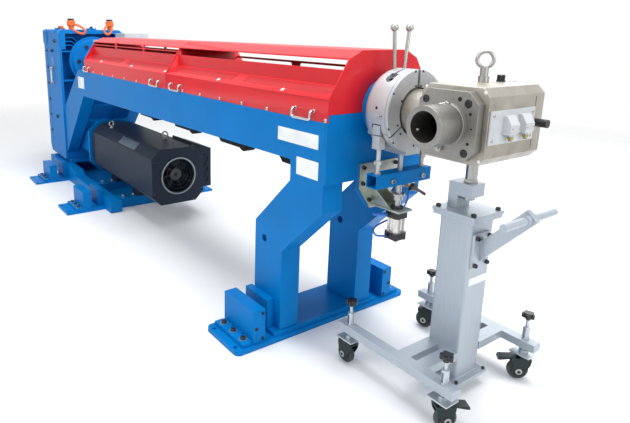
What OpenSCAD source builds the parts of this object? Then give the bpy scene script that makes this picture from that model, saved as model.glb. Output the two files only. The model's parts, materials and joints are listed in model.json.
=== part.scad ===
// Cable extrusion line: a single-screw extruder on a welded stand, with its
// gearbox, drive motor and barrel hood, a quick-clamp ring and a cross-head
// that is carried on a small castor trolley.
// Frame: +X along the screw towards the cross-head, +Z up, millimetres.
// Origin: on the floor, at the middle of the front stand's base plate.

/* [Line] */
// Height of the screw axis above the floor
axis_z = 1000; // [950:5:1100]
// Front face of the stand, from the middle of its base plate
front_x = 346; // [300:2:400]
// Outer width of the stand, the beam and the hood
frame_w = 532; // [480:2:600]

/* [Hood] */
// Length of the whole barrel hood
hood_len = 2733; // [2400:1:3000]
// Length of the front hood section
hood_front_len = 1306; // [1000:1:1500]
// Bottom edge of the hood skirt above the floor
hood_z = 956; // [940:1:980]
// Height of the vertical skirt
skirt_h = 83; // [60:1:100]
// Height of the cap's lower edge above the skirt's bottom edge
cap_edge_h = 220; // [190:1:260]
// Height of the flat top above the skirt's bottom edge
hood_h = 251; // [230:1:290]
// Width of the cap
cap_w = 356; // [320:2:400]
// Width of the flat top
flat_w = 232; // [180:2:260]
// Thickness of the hood sheet
sheet_t = 4; // [3:0.5:6]
// Gap between the two hood sections
hood_gap = 4; // [2:1:8]

/* [Beam and legs] */
// Bottom edge of the beam's side plates
beam_z = 762; // [740:1:800]
// Thickness of the beam's plates
plate_t = 10; // [6:1:16]
// Width of the beam's inner bottom lip
lip_w = 50; // [30:1:70]
// Drop of the front panel below the beam
panel_drop = 32; // [20:1:50]
// Width of each box leg
leg_w = 97; // [80:1:120]
// Rear face of the front legs
leg_rear_x = -84; // [-95:1:-70]
// Front face of the front legs at the floor
leg_front_x = 105; // [90:1:115]
// Height where the leg's front face starts to lean
leg_lean_front_z = 394; // [360:1:430]
// Height where the leg's rear face starts to lean
leg_lean_rear_z = 478; // [440:1:520]
// Height of the upper end of the front lean
leg_top_front_z = 619; // [580:1:660]
// Height of the upper end of the rear lean
leg_top_rear_z = 705; // [680:1:730]
// Length of the leg's upper part
leg_top_len = 192; // [160:1:220]
// Radius of the hole through each front leg
leg_hole_r = 16; // [10:1:22]

/* [Front base] */
// Length of the base plate along the line
base_len = 250; // [236:2:300]
// Width of the base plate across the line
base_w = 982; // [960:2:1100]
// Thickness of the base plate
base_t = 20; // [12:1:30]
// Thickness of the raised pad plate
pad_t = 18; // [10:1:24]
// Length of the pad plate
pad_len = 226; // [216:2:232]
// Radius of the floor bolt holes
floor_hole_r = 9; // [6:0.5:12]
// Spacing of the floor bolt holes along the line
floor_hole_gap = 170; // [140:2:190]
// Distance from a plate's outer edge to its floor bolt holes
floor_hole_edge = 18; // [15:1:20]

/* [Floor anchors] */
// Length of the anchor blocks along the line
anchor_len = 224; // [200:2:230]
// Thickness of the anchor blocks
anchor_t = 60; // [40:1:70]
// Gap from the wall's bracket to the anchor block
anchor_gap = 45; // [30:1:60]
// Thickness of the bracket on the wall
bracket_t = 34; // [20:1:40]
// Top of the anchor blocks above the floor
anchor_z = 165; // [140:1:190]
// Width of the bolted bar outside each block
bar_w = 50; // [44:1:56]
// Thickness of the bolted bar
bar_t = 16; // [10:1:20]
// Number of bolts on each bar
bar_bolts = 3; // [2:1:5]

/* [Rear base] */
// Front end of the rear rails, behind the base plate's middle
rail_front_x = -1806; // [-1900:2:-1700]
// Rear end of the rear rails
rail_rear_x = -3416; // [-3500:2:-3380]
// Outer face of the rear rails from the centre line
rail_out_y = 311; // [300:1:340]
// Width of a rear rail
rail_w = 84; // [70:1:100]
// Height of the rail's front part
rail_low_h = 82; // [60:1:100]
// Height of the rail's rear part, under the gearbox
rail_high_h = 120; // [105:1:150]
// Place of the step in the rail
rail_step_x = -2698; // [-2760:2:-2600]
// Length of the sloping step
rail_step_len = 58; // [40:2:120]
// Reach of the rear floor plates outside the rails
rear_foot_reach = 269; // [265:1:320]
// Thickness of the rear floor plates
rear_foot_t = 16; // [10:1:24]
// Place of the front pair of rear feet
rear_foot_a_x = -2047; // [-2140:2:-1960]
// Place of the back pair of rear feet
rear_foot_b_x = -2955; // [-3040:2:-2880]

/* [Gearbox] */
// Front face of the gearbox
gear_front_x = -3006; // [-3060:2:-2980]
// Length of the gearbox along the line
gear_len = 496; // [440:2:560]
// Width of the gearbox
gear_w = 558; // [540:2:600]
// Top of the gearbox
gear_top_z = 1263; // [1250:1:1300]
// Top of the gearbox's closed lower part
gear_step_z = 603; // [560:1:640]
// Depth of the recess in the upper front
recess_depth = 110; // [80:2:140]
// Thickness of the recess walls
recess_wall = 20; // [14:1:30]
// Thickness of the gearbox foot flange
gear_foot_t = 30; // [20:1:40]
// Radius of the big output flange
out_flange_r = 204; // [190:1:220]
// Thickness of the big output flange
out_flange_t = 62; // [40:1:80]
// Number of bolts on the output flange
out_bolts = 6; // [4:1:12]

/* [Motor] */
// Height of the motor axis above the floor
motor_z = 338; // [325:1:350]
// Free end of the motor
motor_end_x = -1365; // [-1420:1:-1300]
// Distance of the motor flange behind the beam's rear end
mflange_back = 119; // [100:1:140]
// Half width of the motor casing
motor_r = 186; // [170:1:200]
// Corner cut of the motor casing
motor_cut = 60; // [40:1:80]
// Half width of the blue motor flange
mflange_r = 210; // [200:1:216]
// Corner cut of the motor flange
mflange_cut = 85; // [60:1:100]
// Thickness of the motor flange
mflange_t = 22; // [14:1:30]
// Length of the bolt recess between flange and casing
mneck_len = 34; // [24:2:50]
// Radius of the fan opening
fan_hole_r = 125; // [110:1:130]
// Depth of the fan opening
fan_depth = 92; // [80:1:120]
// Number of fan blades
fan_blades = 7; // [5:1:9]

/* [Barrel] */
// Radius of the barrel
barrel_r = 75; // [60:1:76]
// Radius of the heating and cooling jackets
jacket_r = 112; // [100:1:116]
// Number of barrel zones, each with its blower
zones = 5; // [3:1:6]
// Radius of the feed section
feed_r = 96; // [90:1:100]
// Width of the feed opening
feed_port = 120; // [90:2:140]

/* [Clamp ring] */
// Outer radius of the clamp ring
ring_r = 147; // [140:1:149]
// Width of the clamp ring along the line
ring_w = 104; // [96:1:110]
// Gap between the ring and the flange plate behind it
ring_gap = 6; // [5:1:10]
// Radius of the groove that takes the two clamped flanges
groove_r = 116; // [115:0.5:120]
// Width of the groove
groove_w = 74; // [70:1:78]
// Radius of the two clamped flanges
clamped_r = 110; // [104:0.5:110]
// Free space between a clamped flange and the groove's side
clamped_gap = 5; // [4:0.5:6]
// Radius of the ring's lips
lip_r = 86; // [85:0.5:90]
// Angle of the lower splits below the horizontal
split_deg = 33; // [32:0.5:34]
// Half gap of each split, in degrees
split_gap_deg = 1.4; // [1.2:0.1:1.6]
// Gap of the upper split between the two jaws
top_split = 12; // [8:1:16]
// Thickness of the face plates in front of the hinges
face_t = 10; // [8:1:12]
// Radius of the hinge pins' circle
hinge_circle_r = 134; // [133:0.5:134]
// Radius of a hinge pin
hinge_pin_r = 6; // [4:0.5:7]
// Radius of a hinge knuckle
knuckle_r = 13; // [12:0.5:14]
// Clearance round moving parts at the pins
pin_clear = 0.3; // [0.2:0.05:0.5]
// Clearance round a knuckle
knuckle_clear = 3; // [2:0.5:4]

/* [Clamp drive] */
// Side of the square lift beam
lift_beam_w = 50; // [40:1:56]
// Wall of the lift beam
lift_beam_wall = 4; // [3:0.5:6]
// Length of the lift beam
lift_beam_len = 292; // [280:2:310]
// Underside of the lift beam
lift_beam_z = 730; // [722:1:740]
// Travel of the lift beam
lift_travel = 22; // [18:1:22]
// Side of the air cylinder
cyl_w = 63; // [58:1:66]
// Length of the air cylinder
cyl_len = 110; // [104:1:124]
// Top of the air cylinder
cyl_top_z = 626; // [622:1:630]
// Thickness of the zinc-plated bracket
zinc_t = 10; // [6:1:14]

/* [Cross-head] */
// Place of the cable axis along the line
cable_x = 726; // [700:1:760]
// Length of the cross-head block along the line
head_len = 238; // [220:2:260]
// Height of the cross-head block
head_h = 232; // [210:2:240]
// Side of the block that faces the inlet, from the centre line
head_in_y = -105; // [-120:1:-95]
// Other side of the block
head_out_y = 188; // [170:1:200]
// Edge cut of the block
head_cut = 25; // [15:1:32]
// Radius of the neck into the clamp ring
neck_r = 80; // [70:1:80]
// Half width of the square inlet flange
inlet_half = 104; // [98:1:108]
// Thickness of the inlet flange
inlet_t = 30; // [20:1:34]
// Corner cut of the inlet flange
inlet_cut = 34; // [24:1:40]
// Outer radius of the inlet tube
tube_r = 64; // [56:1:70]
// Radius of the inlet bore
bore_r = 47; // [40:1:50]
// Length of the inlet tube
tube_len = 104; // [90:1:130]
// Depth of the inlet bore behind the inlet flange
bore_depth = 40; // [20:1:60]
// Radius of the cable passage
passage_r = 9; // [5:0.5:14]

/* [Trolley] */
// Middle of the trolley across the line
trolley_y = 102; // [80:1:120]
// Outer width of the trolley
trolley_w = 522; // [480:2:560]
// Width of a trolley bar
tbar_w = 43; // [36:1:50]
// Height of a trolley bar
tbar_h = 31; // [26:1:34]
// Top of the trolley bars
tbar_z = 164; // [160:1:170]
// Rear end of the trolley bars
tbar_x0 = 340; // [320:1:350]
// Front end of the trolley bars
tbar_x1 = 863; // [850:1:900]
// Distance of the jack screws from the bar ends
jack_edge = 43; // [38:1:52]
// Middle of the column along the line
column_x = 671; // [660:1:680]
// Middle of the column across the line
column_y = 113; // [105:1:120]
// Side of the square column
column_w = 128; // [110:2:140]
// Height of the column's foot plate above the floor
foot_z = 45; // [38:1:56]
// Thickness of the foot plate
foot_t = 12; // [8:1:16]
// Side of the column's foot plate
foot_w = 178; // [168:2:190]
// Top of the column tube
column_top = 649; // [640:1:652]
// Side of the square top plates
top_plate_w = 170; // [160:2:180]
// Thickness of each of the two top plates
top_plate_t = 13; // [8:1:15]
// Radius of the lift shaft
shaft_r = 20; // [16:1:24]

/* [Castors] */
// Radius of a castor wheel
wheel_r = 37.5; // [35:0.5:38]
// Width of a castor wheel
wheel_w = 26; // [22:1:28]
// Distance from the swivel axis to the wheel axle
trail = 14; // [12:1:18]
// Free space between wheel and fork
fork_gap = 5; // [5:0.5:6]
// Thickness of the fork's cheeks
fork_t = 4; // [3:0.5:5]
// Radius of the axle
axle_r = 6; // [5:0.5:7]

/* [Hidden] */
$fn = 48;

frame_blue = "#1766b5";
hood_red = "#d3222b";
steel = "#9c9890";
bright_steel = "#c9cbcc";
zinc = "#aeb4a8";
silver_grey = "#c3c8cc";
black = "#26282c";
castor_green = "#1f3230";

half_w = frame_w / 2;
leg_in_y = half_w - leg_w;
pad_top = base_t + pad_t;
hood_rear_x = front_x - hood_len;
seam_x = front_x - hood_front_len;
panel_t = plate_t;
beam_front_x = front_x - panel_t;
leg_top_rear_x = beam_front_x - leg_top_len;

// Frame at the back: the leaning legs run from the beam to the gearbox
rear_notch_x = hood_rear_x - 61;
rear_top_len = 111;
rear_top_x = rear_notch_x - rear_top_len;
rear_leg_low_z = 208;

// Clamp ring planes along the line
disc_t = 50;
disc_r = groove_r - 13;
panel_top = hood_z + 28;
ring_x0 = front_x + disc_t + ring_gap;
ring_x1 = ring_x0 + ring_w;
groove_x0 = ring_x0 + (ring_w - groove_w) / 2;
groove_x1 = groove_x0 + groove_w;
joint_x = (groove_x0 + groove_x1) / 2;
ring_mid_x = (ring_x0 + ring_x1) / 2;
hinge_y = hinge_circle_r * cos(split_deg);
hinge_z = axis_z - hinge_circle_r * sin(split_deg);

head_x0 = cable_x - head_len / 2;
head_x1 = cable_x + head_len / 2;
head_top = axis_z + head_h / 2;
head_bottom = axis_z - head_h / 2;
inlet_face_y = head_in_y - inlet_t;
tube_end_y = inlet_face_y - tube_len;

// Clamp drive planes
lift_beam_top = lift_beam_z + lift_beam_w;
rod_y0 = 119;
rod_r = 8;
fork_out_y = 138;
fork_in_y = 107;
fork_half = 16.5;
fork_slot = 20.5;
fork_top = axis_z - 81;
fork_bottom = fork_top - 48;
link_gap = 3;
lug_top = axis_z - 44;
lug_in_y = 112;
coupling_r = 19;
collar_r = 23;
collar_h = 8;
zinc_plate_t = 8;
coupling_z = cyl_top_z + zinc_plate_t + collar_h + lift_travel + 2;

// Trolley planes
jack_x = [tbar_x0 + jack_edge + 5, tbar_x1 - jack_edge - 4];
jack_dy = trolley_w / 2 - tbar_w / 2;
jack_y = [trolley_y - jack_dy, trolley_y + jack_dy];
top_plate_z = column_top + 2 * top_plate_t;
castor_top = 106;
castor_plate_t = 6;
swivel_gap = 0.3;
castor_turn = [180, 60, 200, 225];
castor_place = [[jack_x[0], jack_y[0]], [jack_x[1], jack_y[0]], [jack_x[0], jack_y[1]], [jack_x[1], jack_y[1]]];

module box(x0, x1, y0, y1, z0, z1) {
  translate([x0, y0, z0]) cube([x1 - x0, y1 - y0, z1 - z0]);
}
module bar_x(r, x0, x1, y, z) {
  translate([x0, y, z]) rotate([0, 90, 0]) cylinder(r = r, h = x1 - x0);
}
module bar_y(r, x, y0, y1, z) {
  translate([x, y0, z]) rotate([-90, 0, 0]) cylinder(r = r, h = y1 - y0);
}
module bar_z(r, x, y, z0, z1) {
  translate([x, y, z0]) cylinder(r = r, h = z1 - z0);
}
// A side view outline, points in X and Z, as a slab from y0 to y1
module slab_y(points, y0, y1) {
  translate([0, y1, 0]) rotate([90, 0, 0]) linear_extrude(y1 - y0) polygon(points);
}
// A section outline, points in Y and Z, as a bar from x0 to x1
module slab_x(points, x0, x1) {
  translate([x0, 0, 0]) rotate([90, 0, 90]) linear_extrude(x1 - x0) polygon(points);
}
module both_sides() {
  children();
  mirror([0, 1, 0]) children();
}
// Points of a square with cut corners, half width r and corner cut c, about (y, z)
function cut_square(r, c, y, z) = [
  [y - r, z - r + c], [y - r + c, z - r], [y + r - c, z - r], [y + r, z - r + c],
  [y + r, z + r - c], [y + r - c, z + r], [y - r + c, z + r], [y - r, z + r - c]];
// Points of a rectangle with round corners, centred on the origin
function soft_rect(a, b, r) = [
  for (q = [0 : 3], k = [0 : 6])
    let (sx = q == 0 || q == 3 ? 1 : -1, sy = q < 2 ? 1 : -1, w = 90 * q + 15 * k)
    [sx * (a / 2 - r) + r * cos(w), sy * (b / 2 - r) + r * sin(w)]];
// Hexagon head with a washer under it, standing on a face that looks up
module bolt_head(r) {
  cylinder(r = 1.5 * r, h = 3);
  translate([0, 0, 3]) cylinder(r = r, h = 0.9 * r);
}

module front_base_plate() color(frame_blue) {
  difference() {
    union() {
      linear_extrude(base_t) polygon(soft_rect(base_len, base_w, 24));
      box(-pad_len / 2, pad_len / 2, -half_w - bracket_t, half_w + bracket_t, base_t, pad_top);
    }
    for (sx = [-1, 1], sy = [-1, 1])
      translate([sx * floor_hole_gap / 2, sy * (base_w / 2 - floor_hole_edge), -1])
        cylinder(r = floor_hole_r, h = base_t + 2);
  }
}

leg_outline = [
  [leg_rear_x, pad_top], [leg_front_x, pad_top], [leg_front_x, leg_lean_front_z],
  [beam_front_x, leg_top_front_z], [beam_front_x, beam_z], [leg_top_rear_x, beam_z],
  [leg_top_rear_x, leg_top_rear_z], [leg_rear_x, leg_lean_rear_z]];

module front_legs() color(frame_blue) {
  both_sides() difference() {
    slab_y(leg_outline, leg_in_y, half_w);
    bar_y(leg_hole_r, leg_rear_x + 67, leg_in_y - 1, half_w + 1, leg_lean_rear_z - 66);
  }
}

// Front panel: full width below the hood, a lip inside it, and a tongue behind the bracket
module front_panel() color(frame_blue) {
  lip_y = half_w - sheet_t - 1;
  wide = 111;
  narrow = 45;
  difference() {
    slab_x([[-half_w, beam_z - panel_drop], [-wide, beam_z - panel_drop], [-wide, beam_z - 62],
      [-narrow, cyl_top_z - 14], [narrow, cyl_top_z - 14], [wide, beam_z - 62], [wide, beam_z - panel_drop],
      [half_w, beam_z - panel_drop], [half_w, hood_z], [lip_y, hood_z], [lip_y, panel_top], [-lip_y, panel_top],
      [-lip_y, hood_z], [-half_w, hood_z]], beam_front_x, front_x);
    bar_x(disc_r - 12, beam_front_x - 1, front_x + 1, 0, axis_z);
  }
}

module beam_sides() color(frame_blue) {
  both_sides() {
    box(rear_notch_x, beam_front_x, half_w - plate_t, half_w, beam_z, hood_z);
    box(rear_notch_x, beam_front_x, half_w - plate_t - lip_w, half_w - plate_t, beam_z, beam_z + plate_t);
  }
}

rear_leg_outline = [
  [rear_top_x, hood_z], [rear_notch_x, hood_z], [rear_notch_x, beam_z],
  [gear_front_x, rear_leg_low_z], [gear_front_x, gear_step_z]];

module rear_legs() color(frame_blue) {
  both_sides() slab_y(rear_leg_outline, leg_in_y, half_w);
}

// One floor anchor: bracket on the wall, block, and bolted bar, outwards from wall_y
module anchor(wall_y, z0, z1, bracket_z, gap = anchor_gap) {
  notch = 7;
  block_y = wall_y + bracket_t + gap;
  bar_y0 = block_y + anchor_t;
  box(-anchor_len / 2 + 8, anchor_len / 2 - 52, wall_y, wall_y + bracket_t, bracket_z, z1);
  box(-anchor_len / 2, anchor_len / 2, block_y, bar_y0, z0, z1);
  difference() {
    box(-anchor_len / 2, anchor_len / 2, bar_y0, bar_y0 + bar_w, z0, z0 + bar_t);
    for (i = [0 : bar_bolts]) translate([anchor_len * (i / bar_bolts - 0.5), bar_y0, z0 + bar_t])
      rotate([0, 0, 45]) box(-notch, notch, -notch, notch, -bar_t / 2, 1);
  }
  for (i = [0 : bar_bolts - 1])
    translate([anchor_len * ((i + 0.5) / bar_bolts - 0.5), bar_y0 + bar_w / 2, z0 + bar_t]) bolt_head(9);
}
// Floor plate of a rear foot, with its two floor bolt holes
module rear_foot_plate() {
  edge_y = rail_out_y + rear_foot_reach;
  difference() {
    box(-base_len / 2 + 6, base_len / 2 - 6, rail_out_y, edge_y, 0, rear_foot_t);
    for (s = [-1, 1])
      translate([s * floor_hole_gap / 2, edge_y - floor_hole_edge, -1])
        cylinder(r = floor_hole_r, h = rear_foot_t + 2);
  }
}

module floor_anchors() color(frame_blue) {
  both_sides() {
    anchor(half_w, base_t, anchor_z, pad_top);
    for (x = [rear_foot_a_x, rear_foot_b_x]) translate([x, 0, 0]) {
      rear_foot_plate();
      anchor(rail_out_y, rear_foot_t, anchor_z - 20, rear_foot_t, anchor_gap + 15);
    }
  }
}

rail_outline = [
  [rail_rear_x, 0], [rail_front_x - 12, 0], [rail_front_x, 12], [rail_front_x, rail_low_h],
  [rail_step_x + rail_step_len, rail_low_h], [rail_step_x, rail_high_h], [rail_rear_x, rail_high_h]];

module rear_rails() color(frame_blue) {
  both_sides() slab_y(rail_outline, rail_out_y - rail_w, rail_out_y);
}

// Motor planes along the line, from the beam's rear end
mflange_x0 = rear_notch_x - mflange_back;
mflange_x1 = mflange_x0 + mflange_t;
mneck_x = mflange_x1 + mneck_len;

cross_w = 116;
cross_drop = 12;
cross_end = 180;
cross_front = 525;
cross_rear = 171;
cross_x = [motor_end_x - cross_front, mneck_x + cross_rear, rail_rear_x + cross_end];
bottom_t = 12;

module rear_cross_members() color(frame_blue) {
  y = rail_out_y - rail_w;
  for (x = cross_x) box(x - cross_w, x, -y, y, 0, rail_low_h - cross_drop);
  box(cross_x[2], cross_x[0] - cross_w, -y, y, 0, bottom_t);
}

gear_half = gear_w / 2;
gear_rear_x = gear_front_x - gear_len;
gear_z0 = rail_high_h + gear_foot_t;
recess_x = gear_front_x - recess_depth;
boss_r = 168;

// A quarter of a square bar less a quarter round: takes the corner at (y, z) off along X
module corner_off(r, x0, x1, y, z, sy) {
  difference() {
    box(x0, x1, sy > 0 ? y - r : y - 1, sy > 0 ? y + 1 : y + r, z - r, z + 1);
    bar_x(r, x0 - 1, x1 + 1, y - sy * r, z - r);
  }
}
fin_depth = recess_depth - 34;
// A cooling fin in the recess on the -Y side: level from the wall, then down to the boss
module cast_fin(z, reach, drop) {
  fin_t = 9;
  wall_y = -gear_half + upper_wall - 2;
  slab_x([[wall_y, z], [wall_y, z - fin_t], [-reach, z - fin_t], [-reach + drop, z - fin_t - drop],
    [-reach + drop, z - drop], [-reach, z]], recess_x - 1, recess_x + fin_depth);
}
upper_wall = 54;
upper_z = axis_z + 98;
// Cast housing: closed below, with a recess above where fins and shelves reach the output boss
module gearbox_housing() color(frame_blue) {
  shelf_t = 12;
  foot_half = gear_half - 30;
  difference() {
    union() {
      box(gear_rear_x - 10, gear_front_x + 50, -foot_half, foot_half, rail_high_h, gear_z0);
      slab_y([[gear_rear_x + 40, gear_z0], [gear_front_x, gear_z0], [gear_front_x, gear_top_z],
        [gear_rear_x, gear_top_z], [gear_rear_x, gear_z0 + 50]], -gear_half, gear_half);
      box(gear_rear_x - 14, gear_rear_x, -gear_half + 20, gear_half - 20, gear_z0 + 90, gear_top_z - 30);
      box(gear_rear_x - 4, gear_rear_x + 120, -gear_half - 6, gear_half + 6, gear_top_z - 120, gear_top_z - 10);
    }
    box(recess_x, gear_front_x + 1, -gear_half + recess_wall, gear_half - recess_wall, gear_step_z, upper_z);
    box(recess_x, gear_front_x + 1, -gear_half + upper_wall, gear_half - upper_wall,
      upper_z - 1, gear_top_z - 34);
    for (sy = [-1, 1]) corner_off(46, gear_front_x - 130, gear_front_x + 1, sy * gear_half, gear_top_z, sy);
    for (sy = [-1, 1]) corner_off(24, gear_rear_x - 20, gear_front_x - 129, sy * gear_half, gear_top_z, sy);
  }
  bar_x(boss_r, recess_x - 1, gear_front_x, 0, axis_z);
  both_sides() {
    cast_fin(axis_z + 200, 150, 40);
    cast_fin(axis_z + 168, 160, 40);
    cast_fin(axis_z + 136, 165, 30);
    for (z = [axis_z + 86, axis_z - 160])
      box(recess_x - 1, gear_front_x - 8, -gear_half + recess_wall - 1, -boss_r * 0.6, z - shelf_t, z);
  }
  for (p = [[-170, -gear_half + 60], [-90, 30]])
    translate([gear_front_x + p[0], p[1], gear_top_z]) box(-34, 34, -34, 34, -1, 12);
}

module gearbox_flange() color(frame_blue) {
  bolt_circle = out_flange_r - 66;
  rim_t = out_flange_t / 2;
  face_x = gear_front_x + out_flange_t;
  bar_x(out_flange_r, gear_front_x, gear_front_x + rim_t, 0, axis_z);
  bar_x(out_flange_r - 24, gear_front_x + rim_t, face_x, 0, axis_z);
  bar_x(bolt_circle - 32, face_x, face_x + hub_t, 0, axis_z);
  for (i = [0 : out_bolts - 1])
    translate([face_x, 0, axis_z]) rotate([360 * i / out_bolts, 0, 0])
      translate([0, bolt_circle, 0]) rotate([0, 90, 0]) cylinder(r = 13, h = 12);
}
hub_t = 34;

// Swivel lifting eye: boss, body, pin with a flat head, and a long link hanging over the edge
module swivel_eye(turn, lean) {
  link_r = 30;
  wire_r = 8;
  side = 44;
  cylinder(r = 20, h = 14);
  translate([0, 0, 14]) cylinder(r = 27, h = 40);
  translate([0, 0, 54]) cylinder(r = 9, h = 20);
  translate([0, 0, 74]) cylinder(r = 22, h = 16);
  translate([0, 0, 40]) rotate([0, lean, turn]) translate([26, 0, 0]) {
    for (sy = [-1, 1]) bar_x(wire_r, 0, side, sy * link_r, 0);
    translate([side, 0, 0]) rotate([0, 0, -90])
      rotate_extrude(angle = 180) translate([link_r, 0]) circle(r = wire_r);
    rotate([0, 0, 90]) rotate_extrude(angle = 180) translate([link_r, 0]) circle(r = wire_r);
  }
}
module gearbox_lifting_eyes() color("#e8743a") {
  edge = 30;
  near_in = 110;
  far_in = 92;
  x = gear_front_x - edge;
  translate([x, -gear_half + near_in, gear_top_z]) swivel_eye(30, 16);
  translate([x, gear_half - far_in, gear_top_z]) swivel_eye(-30, 16);
}

// The coupling housing leads from the gearbox input to the motor flange
module coupling_housing() color(frame_blue) {
  slab_x(cut_square(motor_r - 36, motor_cut, 0, motor_z), gear_front_x, mflange_x0);
}
module motor_flange() color(frame_blue) {
  slab_x(cut_square(mflange_r, mflange_cut, 0, motor_z), mflange_x0, mflange_x1);
}

motor_foot_w = 70;
motor_foot_y = 36;
module motor_body() color(black) {
  shaft_len = 58;
  difference() {
    union() {
      slab_x(cut_square(motor_r, motor_cut + 40, 0, motor_z), mflange_x1, mneck_x);
      slab_x(cut_square(motor_r, motor_cut, 0, motor_z), mneck_x, motor_end_x);
      for (x = [cross_x[0], cross_x[1]], s = [-1, 1])
        translate([x, s * motor_foot_y, 0])
          box(-cross_w, 0, -motor_foot_w / 2, motor_foot_w / 2, rail_low_h - cross_drop, motor_z - motor_r);
    }
    bar_x(fan_hole_r, motor_end_x - fan_depth, motor_end_x + 1, 0, motor_z);
  }
  bar_x(fan_shaft_r, motor_end_x - fan_depth, motor_end_x - fan_depth + shaft_len, 0, motor_z);
}
fan_shaft_r = 12;
air_ring_t = 11;
module motor_air_ring() color(bright_steel) {
  difference() {
    bar_x(fan_hole_r - pin_clear, motor_end_x - 16, motor_end_x + 8, 0, motor_z);
    bar_x(fan_hole_r - air_ring_t, motor_end_x - 17, motor_end_x + 9, 0, motor_z);
  }
}
// Axial fan: hub with a bore on the motor shaft, and pitched flat blades
module motor_fan() color("#3a3d42") {
  hub_r = 40;
  hub_len = 36;
  blade_t = 4;
  pitch = 35;
  tip_r = fan_hole_r - air_ring_t - 8;
  hub_x = motor_end_x - fan_depth + 18;
  difference() {
    union() {
      bar_x(hub_r, hub_x, hub_x + hub_len, 0, motor_z);
      for (i = [0 : fan_blades - 1])
        translate([hub_x + hub_len / 2, 0, motor_z]) rotate([360 * i / fan_blades, 0, 0])
          translate([0, 0, hub_r - 6]) rotate([0, 0, pitch])
            translate([-hub_len / 2 + 2, -blade_t / 2, 0]) cube([hub_len - 4, blade_t, tip_r - hub_r + 6]);
    }
    bar_x(fan_shaft_r + pin_clear, hub_x - 1, hub_x + hub_len + 1, 0, motor_z);
  }
}

tbox_y = motor_r + 96;
tbox_x = motor_end_x - 66;
tbox_len = 280;
module terminal_box() color(black) {
  knockout_r = 27;
  rim = 5;
  slope_h = 144;
  drop = 124;
  slope_z = motor_z + slope_h;
  low_z = motor_z - drop;
  slab_x([[motor_r, low_z], [tbox_y, low_z], [tbox_y, slope_z],
    [motor_r - motor_cut + 4, motor_z + motor_r + 16], [motor_r - motor_cut, motor_z + motor_r],
    [motor_r, motor_z + motor_r - motor_cut]], tbox_x - tbox_len, tbox_x);
  for (i = [0 : 2]) translate([0, 0, motor_z - 66 + i * 70]) difference() {
    bar_x(knockout_r, tbox_x, tbox_x + 9, (motor_r + tbox_y) / 2, 0);
    bar_x(knockout_r - rim, tbox_x + 3, tbox_x + 10, (motor_r + tbox_y) / 2, 0);
  }
}

// Lifting eyebolt: collar, shank and ring, the ring facing direction turn
module eyebolt(ring, wire, shank_r, shank_h, turn) {
  cylinder(r = shank_r * 1.3, h = shank_h * 0.4);
  cylinder(r = shank_r, h = shank_h);
  translate([0, 0, shank_h + ring - 1]) rotate([90, 0, turn])
    rotate_extrude() translate([ring, 0]) circle(r = wire);
}
module eyebolts() color(bright_steel) {
  front_back = 312;
  rear_back = 262;
  translate([cable_x - 32, 85, head_top]) eyebolt(25, 6, 13, 48, 40);
  translate([motor_end_x - front_back, 56, motor_z + motor_r]) eyebolt(20, 5.5, 11, 14, 40);
  translate([mflange_x1 + rear_back, -motor_r + motor_cut + 14, motor_z + motor_r])
    eyebolt(20, 5.5, 11, 14, 110);
}

// Full section of the hood, drawn in Y and Z
hood_outline = [
  [-half_w, hood_z], [half_w, hood_z], [half_w, hood_z + skirt_h], [cap_w / 2, hood_z + cap_edge_h],
  [flat_w / 2, hood_z + hood_h], [-flat_w / 2, hood_z + hood_h], [-cap_w / 2, hood_z + cap_edge_h],
  [-half_w, hood_z + skirt_h]];
inner_y = cap_w / 2 + 14;
inner_low_z = hood_z + skirt_h + 43;
inner_high_z = hood_z + cap_edge_h - 38;
rail_z = hood_z + cap_edge_h - 24;
cap_skin = [
  [-cap_w / 2, hood_z + cap_edge_h - sheet_t], [-cap_w / 2, hood_z + cap_edge_h],
  [-flat_w / 2, hood_z + hood_h], [flat_w / 2, hood_z + hood_h], [cap_w / 2, hood_z + cap_edge_h],
  [cap_w / 2, hood_z + cap_edge_h - sheet_t], [flat_w / 2, hood_z + hood_h - sheet_t],
  [-flat_w / 2, hood_z + hood_h - sheet_t]];
side_skin = [
  [half_w - sheet_t, hood_z], [half_w, hood_z], [half_w, hood_z + skirt_h], [inner_y, inner_low_z],
  [inner_y, inner_high_z], [inner_y - sheet_t, inner_high_z], [inner_y - sheet_t, inner_low_z - sheet_t],
  [half_w - sheet_t, hood_z + skirt_h - sheet_t]];

// One lift-off hood section: folded sides, cap strip, slot rails and two end plates
module hood_section(x0, x1, front_low = 0) color(hood_red) {
  post_gap = 620;
  posts = floor((x1 - x0) / post_gap);
  slab_x(cap_skin, x0, x1);
  both_sides() {
    slab_x(side_skin, x0, x1);
    box(x0, x1, inner_y - sheet_t, inner_y, rail_z, rail_z + 6);
    for (i = [1 : posts])
      translate([x0 + (x1 - x0) * i / (posts + 1), 0, 0])
        box(-12, 12, inner_y - sheet_t - 10, inner_y - sheet_t, inner_high_z - 10, hood_z + cap_edge_h + 4);
  }
  for (x = [x0, x1 - sheet_t]) difference() {
    slab_x(hood_outline, x, x + sheet_t);
    bar_x(end_r(x, x1, front_low), x - 1, x + sheet_t + 1, 0, axis_z);
    box(x - 1, x + sheet_t + 1, -end_r(x, x1, front_low), end_r(x, x1, front_low), hood_z - 1, axis_z);
    if (front_low > 0 && x > x0)
      box(x - 1, x + sheet_t + 1, -half_w + sheet_t, half_w - sheet_t, hood_z - 1, front_low);
  }
}
// Radius of the barrel's opening in an end plate; the plate behind the clamp is closer
function end_r(x, x1, front_low) = front_low > 0 && x > x1 - 2 * sheet_t ? disc_r - 12 : jacket_r + 10;
module hood_rear() hood_section(hood_rear_x, seam_x - hood_gap / 2);
module hood_front() hood_section(seam_x + hood_gap / 2, front_x, panel_top + 1);

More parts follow.
